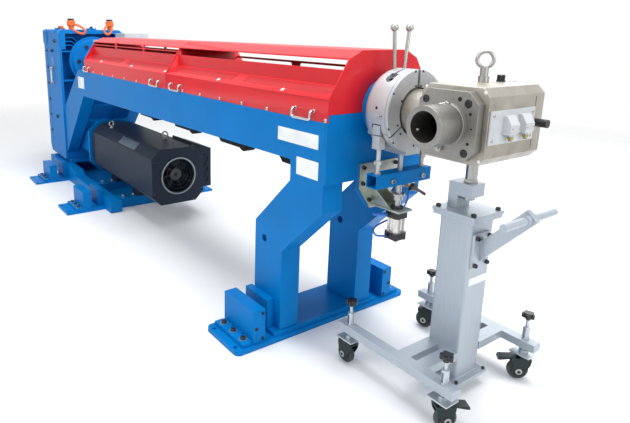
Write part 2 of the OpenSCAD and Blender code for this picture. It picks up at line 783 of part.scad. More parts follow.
// U handle on the skirt: two feet on the side face, bent down to a bar that hangs clear of the sheet
module handle(x) {
  grip = 104;
  reach = 17;
  drop = 31;
  wire = 5.5;
  y = half_w + reach;
  z = hood_z + 35;
  for (s = [-1, 1]) {
    leg_x = x + s * grip / 2;
    bar_y(wire, leg_x, half_w, y, z);
    translate([leg_x, y, z]) sphere(r = wire);
    bar_z(wire, leg_x, y, z - drop, z);
    translate([leg_x, y, z - drop]) sphere(r = wire);
  }
  bar_x(wire, x - grip / 2, x + grip / 2, y, z - drop);
}
module hood_handles() color(bright_steel) {
  end_gap = 130;
  both_sides() for (x = [hood_rear_x + 80, seam_x - end_gap, seam_x + end_gap, front_x - end_gap]) handle(x);
}

feed_x0 = gear_front_x + out_flange_t + hub_t;
feed_x1 = hood_rear_x - 80;
feed_mid = (rear_top_x + feed_x1) / 2 - 70;
feed_top = hood_z + hood_h - 22;
// Feed section with the hopper's seat on top, the opening down to the screw, and a side box
module feed_throat() color("#b9bdc0") {
  wall = 22;
  seat_t = 18;
  seat_w = feed_port + 70;
  side_x0 = feed_mid - 110;
  side_x1 = feed_mid + 100;
  side_y = feed_port / 2 + wall - 2;
  difference() {
    union() {
      bar_x(feed_r, feed_x0, feed_x1, 0, axis_z);
      box(feed_mid - feed_port / 2 - wall, feed_mid + feed_port / 2 + wall,
        -feed_port / 2 - wall, feed_port / 2 + wall, axis_z, feed_top - seat_t);
      box(feed_mid - seat_w / 2, feed_mid + seat_w / 2, -seat_w / 2, seat_w / 2, feed_top - seat_t, feed_top);
    }
    box(feed_mid - feed_port / 2, feed_mid + feed_port / 2, -feed_port / 2, feed_port / 2,
      axis_z, feed_top + 1);
  }
  box(side_x0, side_x1, side_y, half_w + 34, feed_top - 90, feed_top - seat_t - 1);
  box(side_x0, side_x1, seat_w / 2 + 4, half_w + 34, feed_top - seat_t - 2, feed_top + 54);
}

zone_x0 = hood_rear_x + 40;
zone_x1 = beam_front_x - 30;
zone_pitch = (zone_x1 - zone_x0) / zones;
zone_gap = 60;
module barrel() color("#8f9296") {
  bar_x(barrel_r, feed_x1, groove_x0 + clamped_gap, 0, axis_z);
  for (i = [0 : zones - 1])
    bar_x(jacket_r - 8, zone_x0 + i * zone_pitch, zone_x0 + (i + 1) * zone_pitch - zone_gap, 0, axis_z);
  bar_x(clamped_r, groove_x0 + clamped_gap, joint_x, 0, axis_z);
}

blower_len = 320;
blower_w = 220;
blower_bottom = beam_z - 56;
// Cooling blowers hang between the beam's lips, one under each zone
module cooling_blowers() color(black) {
  flange_t = 8;
  top = beam_z + 80;
  for (i = [0 : zones - 1]) translate([zone_x0 + (i + 0.5) * zone_pitch - zone_gap / 2, 0, 0]) {
    slab_y([[-blower_len / 2, top], [-blower_len / 2, beam_z - 16], [-blower_len / 2 + 40, blower_bottom],
      [blower_len / 2 - 40, blower_bottom], [blower_len / 2, beam_z - 16], [blower_len / 2, top]],
      -blower_w / 2, blower_w / 2);
    box(-blower_len / 2 + 30, blower_len / 2 - 30, -half_w + plate_t + 4, half_w - plate_t - 4,
      beam_z + plate_t, beam_z + plate_t + flange_t);
    bar_z(62, 0, 0, top, axis_z - jacket_r);
    bar_z(70, 0, 0, blower_bottom - 12, blower_bottom);
  }
}

module barrel_flange() color(frame_blue) {
  difference() {
    bar_x(disc_r, front_x, front_x + disc_t, 0, axis_z);
    bar_x(barrel_r + 1, front_x - 1, front_x + disc_t + 1, 0, axis_z);
  }
}

// Section of the clamp ring: a channel that grips the two flanges, radius and X
ring_section = [
  [lip_r, ring_x0], [ring_r - 6, ring_x0], [ring_r, ring_x0 + 14], [ring_r, ring_x1 - face_t - 2],
  [ring_r - 2, ring_x1 - face_t - 2], [ring_r - 2, ring_x1 - face_t], [ring_r, ring_x1 - face_t],
  [ring_r, ring_x1 - 3], [ring_r - 3, ring_x1],
  [lip_r, ring_x1], [lip_r, groove_x1], [groove_r, groove_x1], [groove_r, groove_x0], [lip_r, groove_x0]];
// The part of the ring from angle a0 to a1, counted from +Y towards +Z
module ring_arc(a0, a1) {
  translate([0, 0, axis_z]) rotate([90, 0, 90]) rotate([0, 0, a0])
    rotate_extrude(angle = a1 - a0, $fn = 96) polygon(ring_section);
}
module knuckle(r, x0, x1) bar_x(r, x0, x1, hinge_y, hinge_z);

// Slot in the ring's side that gives the link room, on the +Y side
module link_slot(y0, z0, z1) box(ring_mid_x - fork_slot, ring_mid_x + fork_slot, y0, ring_r + 20, z0, z1);
hinge_x1 = ring_x1 - face_t - 1;

slot_x0 = ring_mid_x - fork_slot;
slot_x1 = ring_mid_x + fork_slot;

// Jaw on the +Y side: arc, hinge knuckle with its bore behind the link, and the lug for the link
module jaw() {
  difference() {
    union() {
      ring_arc(-split_deg + split_gap_deg, 90);
      knuckle(knuckle_r, ring_x0, slot_x0);
    }
    knuckle(knuckle_r + knuckle_clear, slot_x0, ring_x1 - face_t + 0.5);
    knuckle(hinge_pin_r + pin_clear, ring_x0 - 1, slot_x1);
    box(ring_x0 - 1, ring_x1 + 1, -1, top_split / 2, axis_z, axis_z + ring_r + 1);
    link_slot(lug_in_y + 6, fork_top - 4, lug_top + 5);
    pocket();
  }
  box(ring_mid_x - fork_half, ring_mid_x + fork_half, lug_in_y + 7.5, fork_out_y, fork_top + link_gap, lug_top);
  box(ring_mid_x - fork_half, ring_mid_x + fork_half, lug_in_y + 3, fork_out_y, lug_top - 11, lug_top);
}
pocket_deg = 52;
// Pocket in the outer face with a round lower end, and the slot from it to the top split
module pocket() {
  r = 17;
  deep = 16;
  translate([ring_mid_x + 4, 0, axis_z]) rotate([pocket_deg, 0, 0]) translate([0, ring_r - deep, 0]) {
    translate([0, 20, 0]) rotate([90, 0, 0]) cylinder(r = r, h = 20);
    box(-r, r, 0, 30, 0, 30);
    box(-5, 5, -8, 40, 29, 110);
  }
}
module clamp_jaw_far() color(steel) jaw();
module clamp_jaw_near() color(steel) mirror([0, 1, 0]) jaw();

saddle_w = 76;
// Fixed bottom segment, seated on the flange plate, with the hinge pins and the guide rod
module clamp_base() color(steel) {
  guide_r = 9;
  difference() {
    union() {
      ring_arc(180 + split_deg + split_gap_deg, 360 - split_deg - split_gap_deg);
      both_sides() knuckle(knuckle_r, slot_x1, hinge_x1);
    }
    both_sides() knuckle(knuckle_r + knuckle_clear, ring_x0 - 1, slot_x0 + 1);
    both_sides() link_slot(fork_in_y - 4, fork_bottom - 30, fork_top + 6);
  }
  both_sides() knuckle(hinge_pin_r, ring_x0, hinge_x1);
  bar_z(guide_r, ring_mid_x, 0, lift_beam_top - 34, axis_z - ring_r + 4);
  box(ring_x0 + 6, ring_x1, -saddle_w / 2, saddle_w / 2, axis_z - ring_r - 6, axis_z - ring_r + 10);
  box(front_x, ring_x0, -saddle_w / 2, saddle_w / 2, axis_z - ring_r + 10, axis_z - groove_r);
}

// Hand lever on a jaw: steel rod with a ball end
module lever() {
  lean = 5.5;
  ball_r = 14;
  rod_len = 137;
  translate([ring_x0 + 14, 25, axis_z + ring_r - 8]) rotate([-lean, 0, 0]) {
    cylinder(r = 6.5, h = rod_len);
    translate([0, 0, rod_len + ball_r - 3]) sphere(r = ball_r);
  }
}
module lever_far() color(bright_steel) lever();
module lever_near() color(bright_steel) mirror([0, 1, 0]) lever();

plate_top = cyl_top_z + zinc_plate_t;
bracket_x1 = front_x + zinc_t;
// Zinc-plated bracket: bolted plate, cylinder plate and two gussets
module clamp_bracket() color(zinc) {
  wide = 101;
  narrow = 38;
  plate_x1 = ring_mid_x + cyl_w / 2 + 10;
  gusset_x = ring_mid_x - cyl_w / 2 + 26;
  slab_x([[-narrow, cyl_top_z - 14], [narrow, cyl_top_z - 14], [wide, beam_z - 63], [wide, beam_z + 30],
    [-wide, beam_z + 30], [-wide, beam_z - 63]], front_x, bracket_x1);
  difference() {
    box(bracket_x1, plate_x1, -narrow, narrow, cyl_top_z, plate_top);
    bar_z(coupling_r + 0.5, ring_mid_x, 0, cyl_top_z - 1, plate_top + 1);
  }
  both_sides() slab_y([[bracket_x1, plate_top], [gusset_x, plate_top], [bracket_x1, plate_top + 66]],
    narrow - 10, narrow - 4);
}

// Air cylinder: square end caps and a profiled bright body between them
module air_cylinder() color(bright_steel) {
  cap_h = 27;
  groove = 8;
  x = ring_mid_x;
  z0 = cyl_top_z - cyl_len;
  difference() {
    union() {
      for (z = [z0, cyl_top_z - cap_h])
        translate([x, 0, z]) linear_extrude(cap_h) polygon(cut_square(cyl_w / 2, 8, 0, 0));
      translate([x, 0, z0 + cap_h]) linear_extrude(cyl_len - 2 * cap_h)
        polygon(cut_square(cyl_w / 2 - 4, 10, 0, 0));
      bar_z(coupling_r, x, 0, cyl_top_z - 1, plate_top);
      bar_z(collar_r, x, 0, plate_top, plate_top + collar_h);
    }
    for (a = [0 : 90 : 270]) translate([x, 0, z0 + cap_h]) rotate([0, 0, a])
      translate([cyl_w / 2 - 4, 0, 0]) cylinder(r = groove, h = cyl_len - 2 * cap_h);
    bar_z(piston_rod_r + pin_clear, x, 0, cyl_top_z - cap_h - 40, plate_top + collar_h + 1);
  }
  for (z = [z0 + cap_h / 2, cyl_top_z - cap_h / 2]) bar_y(port_r, port_x, -cyl_w / 2 - port_len, -cyl_w / 2, z);
}
piston_rod_r = 12;
port_r = 6;
port_len = 8;
port_x = ring_mid_x - 10;
// Piston rod with its coupling nut under the lift beam
module cylinder_rod() color(bright_steel) {
  x = ring_mid_x;
  bar_z(piston_rod_r, x, 0, cyl_top_z - 30, coupling_z);
  bar_z(coupling_r, x, 0, coupling_z, coupling_z + 18);
  bar_z(coupling_r + 7, x, 0, coupling_z + 18, coupling_z + 26);
  bar_z(piston_rod_r, x, 0, coupling_z + 26, lift_beam_z);
}

guide_clear = 14;
module lift_beam() color(frame_blue) {
  w = lift_beam_wall;
  x0 = ring_mid_x - lift_beam_w / 2;
  x1 = ring_mid_x + lift_beam_w / 2;
  l = lift_beam_len / 2;
  difference() {
    box(x0, x1, -l, l, lift_beam_z, lift_beam_top);
    box(x0 + w, x1 - w, -l - 1, l + 1, lift_beam_z + w, lift_beam_top - w);
    bar_z(guide_clear, ring_mid_x, 0, lift_beam_z + w, lift_beam_top + 1);
  }
}
// Two link rods with lock collars and fork blocks under the jaws' lugs
module link_rods() color(bright_steel) {
  collar_z = lift_beam_top + 34;
  both_sides() {
    bar_z(rod_r, ring_mid_x, rod_y0, lift_beam_top, fork_bottom);
    translate([ring_mid_x, rod_y0, collar_z]) cylinder(r = 14, h = 14, $fn = 6);
    bar_z(13, ring_mid_x, rod_y0, lift_beam_top, lift_beam_top + 6);
    box(ring_mid_x - fork_half, ring_mid_x + fork_half, fork_in_y, fork_out_y, fork_bottom, fork_top);
  }
}

valve_y = leg_in_y + 11;
valve_z = beam_z - 72;
valve_x = beam_front_x + 22;
// Hand valve on the far leg's front face: body, two hose sockets, spindle and lever
module hand_valve() color("#b08d4a") {
  x1 = beam_front_x + 36;
  box(beam_front_x, x1, valve_y - 12, valve_y + 12, valve_z - 16, valve_z + 14);
  bar_x(8, x1, x1 + 12, valve_y, valve_z);
  bar_y(6, valve_x, valve_y - 24, valve_y - 12, valve_z);
  bar_z(6, valve_x, valve_y, valve_z - 28, valve_z - 16);
  slab_y([[x1 + 6, valve_z + 8], [x1 + 16, valve_z + 10], [x1 + 76, valve_z - 8], [x1 + 76, valve_z - 17],
    [x1 + 6, valve_z - 2]], valve_y - 7, valve_y + 7);
}

hose_r = 4;
port_gap = 0.4;
port_y = -cyl_w / 2 - port_len - port_gap;
port_top_z = cyl_top_z - 13.5;
port_low_z = cyl_top_z - cyl_len + 13.5;
// Hose routes, from the valve round the back of the cylinder to its two ports
hose_a = [[valve_x, valve_y - 24 - port_gap, valve_z], [valve_x, valve_y - 36, valve_z - 1],
  [365, 124, 668], [380, 96, 632],
  [388, 66, 608], [391, 36, 596], [392, 2, 592], [392, -30, 594], [395, -54, 600], [406, -68, 608],
  [422, -69, port_top_z], [436, -60, port_top_z], [port_x, port_y - 9, port_top_z],
  [port_x, port_y, port_top_z]];
hose_b = [[valve_x, valve_y, valve_z - 28 - port_gap], [valve_x + 1, valve_y - 1, valve_z - 40],
  [364, 170, 626], [373, 148, 602],
  [382, 114, 582], [388, 74, 570], [391, 36, 563], [392, 0, 558], [393, -32, 552], [398, -55, 545],
  [409, -68, 538], [424, -69, port_low_z], [437, -60, port_low_z], [port_x, port_y - 9, port_low_z],
  [port_x, port_y, port_low_z]];
function unit(v) = v / norm(v);
function tangent(p, i) = unit(p[min(i + 1, len(p) - 1)] - p[max(i - 1, 0)]);
// Round tube along a route: one ring of points square to the path at each route point
module hose(p, r, sides = 8) {
  n = len(p);
  ref = [1, 0.2, 0.1];
  rings = [for (i = [0 : n - 1], k = [0 : sides - 1])
    let (t = tangent(p, i), u = unit(cross(t, ref)), v = cross(t, u), a = 360 * k / sides)
    p[i] + r * (cos(a) * u + sin(a) * v)];
  walls = [for (i = [0 : n - 2], k = [0 : sides - 1])
    let (a = i * sides + k, b = i * sides + (k + 1) % sides) [a, a + sides, b + sides, b]];
  first = [for (k = [0 : sides - 1]) k];
  last = [for (k = [sides - 1 : -1 : 0]) (n - 1) * sides + k];
  polyhedron(points = rings, faces = concat(walls, [first, last]));
}
module air_hoses() color("#2b6fd0") {
  hose(hose_a, hose_r);
  hose(hose_b, hose_r);
}

// Cross-head: flanged neck into the clamp, and the block with cut edges
module crosshead_body() color(steel) {
  difference() {
    union() {
      bar_x(clamped_r, joint_x + 0.5, groove_x1 - clamped_gap, 0, axis_z);
      bar_x(neck_r, groove_x1 - clamped_gap, head_x0, 0, axis_z);
      slab_y([[head_x0, head_bottom + head_cut], [head_x0 + head_cut, head_bottom],
        [head_x1 - head_cut, head_bottom], [head_x1, head_bottom + head_cut],
        [head_x1, head_top - head_cut], [head_x1 - head_cut, head_top],
        [head_x0 + head_cut, head_top], [head_x0, head_top - head_cut]], head_in_y, head_out_y);
    }
    bar_y(bore_r, cable_x, head_in_y - 1, head_in_y + bore_depth, axis_z);
    bar_y(passage_r, cable_x, head_in_y, head_out_y + 1, axis_z);
  }
}
// Inlet: square flange with cut corners and the round cable tube
module inlet_tube() color(steel) {
  difference() {
    union() {
      slab_y([for (p = cut_square(inlet_half, inlet_cut, cable_x, axis_z)) p], inlet_face_y, head_in_y);
      bar_y(tube_r, cable_x, tube_end_y, inlet_face_y, axis_z);
      bar_y(tube_r + 3, cable_x, inlet_face_y - 6, inlet_face_y, axis_z);
    }
    bar_y(bore_r, cable_x, tube_end_y - 1, head_in_y + 1, axis_z);
  }
}
module die_ring() color(steel) {
  die_r = 50;
  die_len = 28;
  difference() {
    union() {
      bar_y(die_r, cable_x, head_out_y, head_out_y + die_len, axis_z);
      translate([cable_x, head_out_y + die_len, axis_z]) rotate([-90, 0, 0])
        cylinder(r1 = die_r - 14, r2 = passage_r + 8, h = 16);
    }
    bar_y(passage_r, cable_x, head_out_y - 1, head_out_y + die_len + 17, axis_z);
  }
}
// Connector plate with two hooded plugs, their glands, and the side fitting
module connectors() color("#b4b7ba") {
  plate_t = 4;
  plug_y = [-9, 71];
  x = head_x1 + plate_t;
  box(head_x1, x, -98, 136, axis_z - 50, axis_z + 51);
  for (y = plug_y) translate([x, y, axis_z]) {
    slab_y([[0, -22], [18, -22], [26, -14], [26, 8], [10, 34], [0, 34]], -23, 23);
    bar_z(7, 13, 0, -34, -22);
  }
  translate([head_x1, 152, axis_z]) rotate([0, 90, 0]) {
    cylinder(r = 13, h = 12, $fn = 6);
    translate([0, 0, 12]) cylinder(r = 13, h = 28);
  }
}

// Two bars joined by slotted cross plates on both sides of the column
module trolley_base() color(silver_grey) {
  slot_w = 25;
  z0 = tbar_z - tbar_h;
  half = trolley_w / 2;
  near_in = trolley_y - half + tbar_w;
  far_in = trolley_y + half - tbar_w;
  for (y = [trolley_y - half, trolley_y + half - tbar_w]) box(tbar_x0, tbar_x1, y, y + tbar_w, z0, tbar_z);
  for (span = [[near_in, column_y - column_w / 2], [column_y + column_w / 2, far_in]]) difference() {
    box(column_x - column_w / 2, column_x + column_w / 2, span[0] - 1, span[1] + 1, z0, tbar_z);
    box(column_x - slot_w / 2, column_x + slot_w / 2, span[0] + 4, span[1] - 10, z0 - 1, tbar_z + 1);
    box(column_x - column_w, column_x + column_w, column_y - column_w / 2, column_y + column_w / 2,
      z0 - 1, tbar_z + 1);
  }
}
module trolley_column() color(silver_grey) {
  wall = 6;
  corner = 10;
  difference() {
    union() {
      translate([column_x, column_y, foot_z + foot_t])
        linear_extrude(column_top - foot_z - foot_t) polygon(soft_rect(column_w, column_w, corner));
      box(column_x - foot_w / 2, column_x + foot_w / 2, column_y - foot_w / 2, column_y + foot_w / 2,
        foot_z, foot_z + foot_t);
    }
    translate([column_x, column_y, foot_z + foot_t])
      linear_extrude(column_top - foot_z)
        polygon(soft_rect(column_w - 2 * wall, column_w - 2 * wall, corner - 4));
  }
}
module column_top_plate() color(silver_grey) {
  h = top_plate_w / 2;
  inset = 3;
  box(column_x - h + inset, column_x + h - inset, column_y - h + inset, column_y + h - inset,
    column_top, column_top + top_plate_t);
  box(column_x - h, column_x + h, column_y - h, column_y + h, column_top + top_plate_t, top_plate_z);
}
arm_z = top_plate_z + 46;
// C-shaped block whose arm guides the lift shaft
module lift_block() color(silver_grey) {
  top = arm_z + 47;
  wide = 75;
  back = column_x - 59;
  front = column_x + 32;
  leg = 38;
  difference() {
    slab_y([[back, top_plate_z], [back + leg, top_plate_z], [back + leg, arm_z], [front, arm_z],
      [front, top], [back, top]], column_y - wide / 2, column_y + wide / 2);
    bar_z(shaft_r + pin_clear, column_x, column_y, arm_z - 1, top + 1);
  }
}
module lift_shaft() color(bright_steel) {
  end_gap = 14;
  nut_h = 12;
  bar_z(shaft_r, column_x, column_y, arm_z - end_gap, head_bottom);
  translate([column_x, column_y, arm_z + 48]) cylinder(r = shaft_r + 6, h = nut_h, $fn = 6);
}
// Push handle: bolted plate, sloping arm with a square end, and cross bar with collars
module push_handle() color(silver_grey) {
  plate_t = 10;
  face_x = column_x + column_w / 2;
  x = face_x + plate_t;
  y = column_y - 9;
  arm = [[x - 1, column_top - 144], [x + 178, column_top + 51], [x + 142, column_top + 83],
    [x - 1, column_top - 70]];
  grip = [x + 149, column_top + 52];
  grip_half = 147;
  grip_r = 13;
  translate([face_x, y, column_top - 104]) rotate([90, 0, 90])
    linear_extrude(plate_t) polygon(soft_rect(92, 128, 8));
  slab_y(arm, y - 10, y + 10);
  bar_y(grip_r, grip[0], y - grip_half, y + grip_half, grip[1]);
  bar_y(grip_r + 3, grip[0], y - 30, y + 30, grip[1]);
}

// Jack: slotted tube, screw and star knob above the bar, castor plate under it
module jack(slot_turn) {
  tube_h = 52;
  screw_h = 27;
  knob_r = 16;
  tube_r = 13;
  z0 = tbar_z - tbar_h;
  plate_x = 76;
  plate_y = 66;
  difference() {
    bar_z(tube_r, 0, 0, tbar_z, tbar_z + tube_h);
    rotate([0, 0, slot_turn]) box(6, tube_r + 1, -3.5, 3.5, tbar_z + 8, tbar_z + tube_h - 8);
  }
  bar_z(6, 0, 0, tbar_z + tube_h, tbar_z + tube_h + screw_h);
  translate([0, 0, tbar_z + tube_h + screw_h]) {
    cylinder(r = 9, h = 8);
    translate([0, 0, 8]) cylinder(r = knob_r, h = 20);
    for (i = [0 : 4]) rotate([0, 0, 72 * i]) translate([knob_r, 0, 9]) cylinder(r = 7, h = 17);
  }
  bar_z(11, 0, 0, castor_top + castor_plate_t, z0);
  bar_z(17, 0, 0, castor_top + castor_plate_t, castor_top + castor_plate_t + 10);
  box(-plate_x / 2, plate_x / 2, -plate_y / 2, plate_y / 2, castor_top, castor_top + castor_plate_t);
}
module jack_screws() color(silver_grey) {
  for (p = castor_place) translate([p[0], p[1], 0]) jack(-90);
}

fork_in = wheel_w / 2 + fork_gap;
fork_out = fork_in + fork_t;
crown_z = 2 * wheel_r + fork_gap + 4;
// Side outline of the moulded fork: wide under the crown, round about the axle
cheek_r = 21;
cheek_outline = concat([[-27, crown_z], [trail + 27, crown_z], [trail + 25, crown_z - 14]],
  [for (a = [10 : -20 : -170]) [trail + cheek_r * cos(a), wheel_r + cheek_r * sin(a)]],
  [[-24, crown_z - 18]]);
// Castor fork, trailing along +X before it is turned; brake adds a foot pedal
module castor_fork(i, brake) color(castor_green)
  translate([castor_place[i][0], castor_place[i][1], 0]) rotate([0, 0, castor_turn[i]]) {
    swivel_r = 24;
    pedal = trail + 72;
    bar_z(swivel_r, 0, 0, crown_z + 6, castor_top - swivel_gap);
    box(-27, trail + 27, -fork_out, fork_out, crown_z, crown_z + 7);
    for (y0 = [fork_in, -fork_out]) slab_y(cheek_outline, y0, y0 + fork_t);
    bar_y(axle_r, trail, -fork_out - 3, fork_out + 3, wheel_r);
    if (brake) {
      slab_y([[trail + 26, crown_z], [trail + 26, crown_z + 7], [pedal, crown_z + 3], [pedal + 4, crown_z - 9],
        [pedal - 6, crown_z - 9]], -17, 17);
    }
  }
// Castor wheel: round-shouldered tyre and a hub with a bore
module castor_wheel(i) color(black)
  translate([castor_place[i][0], castor_place[i][1], wheel_r]) rotate([0, 0, castor_turn[i]])
    translate([trail, 0, 0]) rotate([90, 0, 0]) {
      shoulder = 6;
      bore = axle_r + pin_clear;
      w = wheel_w / 2;
      rotate_extrude(convexity = 4) polygon([
        [bore, -w - 3], [bore + 6, -w - 3], [wheel_r - 14, -w + 3], [wheel_r - 11, -w], [wheel_r - shoulder, -w],
        [wheel_r, -w + shoulder], [wheel_r, w - shoulder], [wheel_r - shoulder, w], [wheel_r - 11, w],
        [wheel_r - 14, w - 3], [bore + 6, w + 3], [bore, w + 3]]);
    }
module castor_fork_1() castor_fork(0, false);
module castor_fork_2() castor_fork(1, true);
module castor_fork_3() castor_fork(2, false);
module castor_fork_4() castor_fork(3, true);
module castor_wheel_1() castor_wheel(0);
module castor_wheel_2() castor_wheel(1);
module castor_wheel_3() castor_wheel(2);
module castor_wheel_4() castor_wheel(3);

front_base_plate();
front_legs();
front_panel();
beam_sides();
rear_legs();
floor_anchors();
rear_rails();
rear_cross_members();
gearbox_housing();
gearbox_flange();
gearbox_lifting_eyes();
coupling_housing();
motor_flange();
motor_body();
motor_air_ring();
motor_fan();
terminal_box();
eyebolts();
hood_rear();
hood_front();
hood_handles();
feed_throat();
barrel();
cooling_blowers();
barrel_flange();
clamp_jaw_near();
clamp_jaw_far();
clamp_base();
lever_near();
lever_far();
clamp_bracket();
air_cylinder();
cylinder_rod();
lift_beam();
link_rods();
hand_valve();
air_hoses();
crosshead_body();
inlet_tube();
die_ring();
connectors();
trolley_base();
trolley_column();
column_top_plate();
lift_block();
lift_shaft();
push_handle();
jack_screws();
castor_fork_1();
castor_fork_2();
castor_fork_3();
castor_fork_4();
castor_wheel_1();
castor_wheel_2();
castor_wheel_3();
castor_wheel_4();
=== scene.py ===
# %% [markdown]
# # Cable extrusion line
# A single-screw extruder stands on a blue welded frame. Its red hood covers the barrel, a black motor
# drives the gearbox at the back, and a steel quick-clamp ring holds the cross-head at the front.
# The cross-head rests on a small silver trolley. The exact solids are loaded first, and each cell below
# adds one finish or one kind of detail to them.

# %% Load the solids
import json
import math

import bmesh
import bpy
import numpy as np
from mathutils import Matrix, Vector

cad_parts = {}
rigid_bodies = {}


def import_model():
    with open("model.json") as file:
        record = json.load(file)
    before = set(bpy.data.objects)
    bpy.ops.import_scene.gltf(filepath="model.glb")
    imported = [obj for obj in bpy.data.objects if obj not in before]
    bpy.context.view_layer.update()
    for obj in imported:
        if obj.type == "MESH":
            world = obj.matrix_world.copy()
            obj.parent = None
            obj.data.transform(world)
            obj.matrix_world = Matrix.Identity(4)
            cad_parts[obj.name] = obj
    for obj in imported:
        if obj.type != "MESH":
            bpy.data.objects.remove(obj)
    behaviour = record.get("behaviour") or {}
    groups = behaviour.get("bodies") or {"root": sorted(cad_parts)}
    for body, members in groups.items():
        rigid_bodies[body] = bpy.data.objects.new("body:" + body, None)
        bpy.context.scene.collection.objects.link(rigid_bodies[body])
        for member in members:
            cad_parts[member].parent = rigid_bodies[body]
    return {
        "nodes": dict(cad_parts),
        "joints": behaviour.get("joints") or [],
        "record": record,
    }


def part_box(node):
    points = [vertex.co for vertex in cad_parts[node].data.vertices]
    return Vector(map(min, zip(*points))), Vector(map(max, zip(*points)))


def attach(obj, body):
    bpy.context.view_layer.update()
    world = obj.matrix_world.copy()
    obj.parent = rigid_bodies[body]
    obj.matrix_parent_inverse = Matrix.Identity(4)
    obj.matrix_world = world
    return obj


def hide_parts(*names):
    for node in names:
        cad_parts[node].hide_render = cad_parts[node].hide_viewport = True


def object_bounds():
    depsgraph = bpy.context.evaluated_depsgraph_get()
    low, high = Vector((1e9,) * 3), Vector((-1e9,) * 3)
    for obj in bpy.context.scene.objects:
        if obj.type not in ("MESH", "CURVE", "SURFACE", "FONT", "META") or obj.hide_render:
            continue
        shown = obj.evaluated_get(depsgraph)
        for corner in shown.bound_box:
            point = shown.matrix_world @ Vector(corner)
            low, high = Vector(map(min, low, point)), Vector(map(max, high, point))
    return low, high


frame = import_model()
cad_low, cad_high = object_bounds()
nodes = frame["nodes"]
print("solids:", len(nodes), "box:", [round(v, 3) for v in (*cad_low, *cad_high)])

# %% [markdown]
# ## The camera
# The photograph was taken from the cross-head end, a little above the screw axis. Its place, its turn and
# its focal length were fitted to edges of the machine that were measured in the picture. The picture's
# middle was not the lens axis, so the sensor is shifted by the difference.

# %% Camera at the photograph's place
IMAGE_W, IMAGE_H = 630, 423
LENS_PIXELS = 536.57
LENS_AXIS_PIXEL = (254.09, 156.05)
CAMERA_PLACE = (1.7220, -1.5195, 1.2621)
AZIMUTH, ELEVATION, ROLL = (math.radians(v) for v in (55.52, 12.98, 0.86))
SENSOR_MM = 36.0
CLIP_NEAR, CLIP_FAR = 0.05, 200


def camera_axes(azimuth, elevation, roll):
    """Right, up and back directions of a camera that looks down by elevation and is turned by roll."""
    right = np.array([math.cos(azimuth), math.sin(azimuth), 0.0])
    back = np.array([math.sin(azimuth) * math.cos(elevation), -math.cos(azimuth) * math.cos(elevation),
                     math.sin(elevation)])
    up = np.cross(back, right)
    turned_right = math.cos(roll) * right + math.sin(roll) * up
    return turned_right, np.cross(back, turned_right), back


camera_data = bpy.data.cameras.new("photo_camera")
camera_data.sensor_width = SENSOR_MM
camera_data.lens = LENS_PIXELS * SENSOR_MM / IMAGE_W
camera_data.shift_x = (IMAGE_W / 2 - LENS_AXIS_PIXEL[0]) / IMAGE_W
camera_data.shift_y = (LENS_AXIS_PIXEL[1] - IMAGE_H / 2) / IMAGE_W
camera_data.clip_start = CLIP_NEAR
camera_data.clip_end = CLIP_FAR
camera = bpy.data.objects.new("photo_camera", camera_data)
bpy.context.scene.collection.objects.link(camera)
axes = camera_axes(AZIMUTH, ELEVATION, ROLL)
pose = np.eye(4)
pose[:3, :3] = np.column_stack(axes)
pose[:3, 3] = CAMERA_PLACE
camera.matrix_world = Matrix(pose.tolist())
bpy.context.scene.camera = camera
print("lens", round(camera_data.lens, 2), "mm, shift", round(camera_data.shift_x, 4),
      round(camera_data.shift_y, 4))

# %% [markdown]
# ## Writing shaders as sums
# A finish is a small graph of nodes. Joining them one link at a time hides the idea, so a Wire stands for
# one output socket and understands + - * /. An expression such as `0.4 + 0.1 * noise` then adds its own
# Math nodes, and every other node comes from one method, `node`.

# %% Wires and finishes
class Wire:
    """An output socket of a finish; arithmetic on it adds Math nodes."""

    def __init__(self, finish, socket):
        self.finish = finish
        self.socket = socket

    def math(self, operation, *values):
        """A Math node of one operation, with numbers or wires as its inputs."""
        inputs = {f"i{k}": v for k, v in enumerate(values)}
        return self.finish.node("ShaderNodeMath", settings={"operation": operation}, **inputs)

    def __add__(self, other):
        return self.math("ADD", self, other)

    def __radd__(self, other):
        return self.math("ADD", other, self)

    def __sub__(self, other):
        return self.math("SUBTRACT", self, other)

    def __rsub__(self, other):
        return self.math("SUBTRACT", other, self)

    def __mul__(self, other):
        return self.math("MULTIPLY", self, other)

    def __rmul__(self, other):
        return self.math("MULTIPLY", other, self)

    def __truediv__(self, other):
        return self.math("DIVIDE", self, other)

    def __rtruediv__(self, other):
        return self.math("DIVIDE", other, self)

    def step(self, low, high):
        """0 below low, 1 above high, and an even rise between them."""
        return self.finish.node("ShaderNodeMapRange", i0=self, i1=low, i2=high, i3=0.0, i4=1.0)


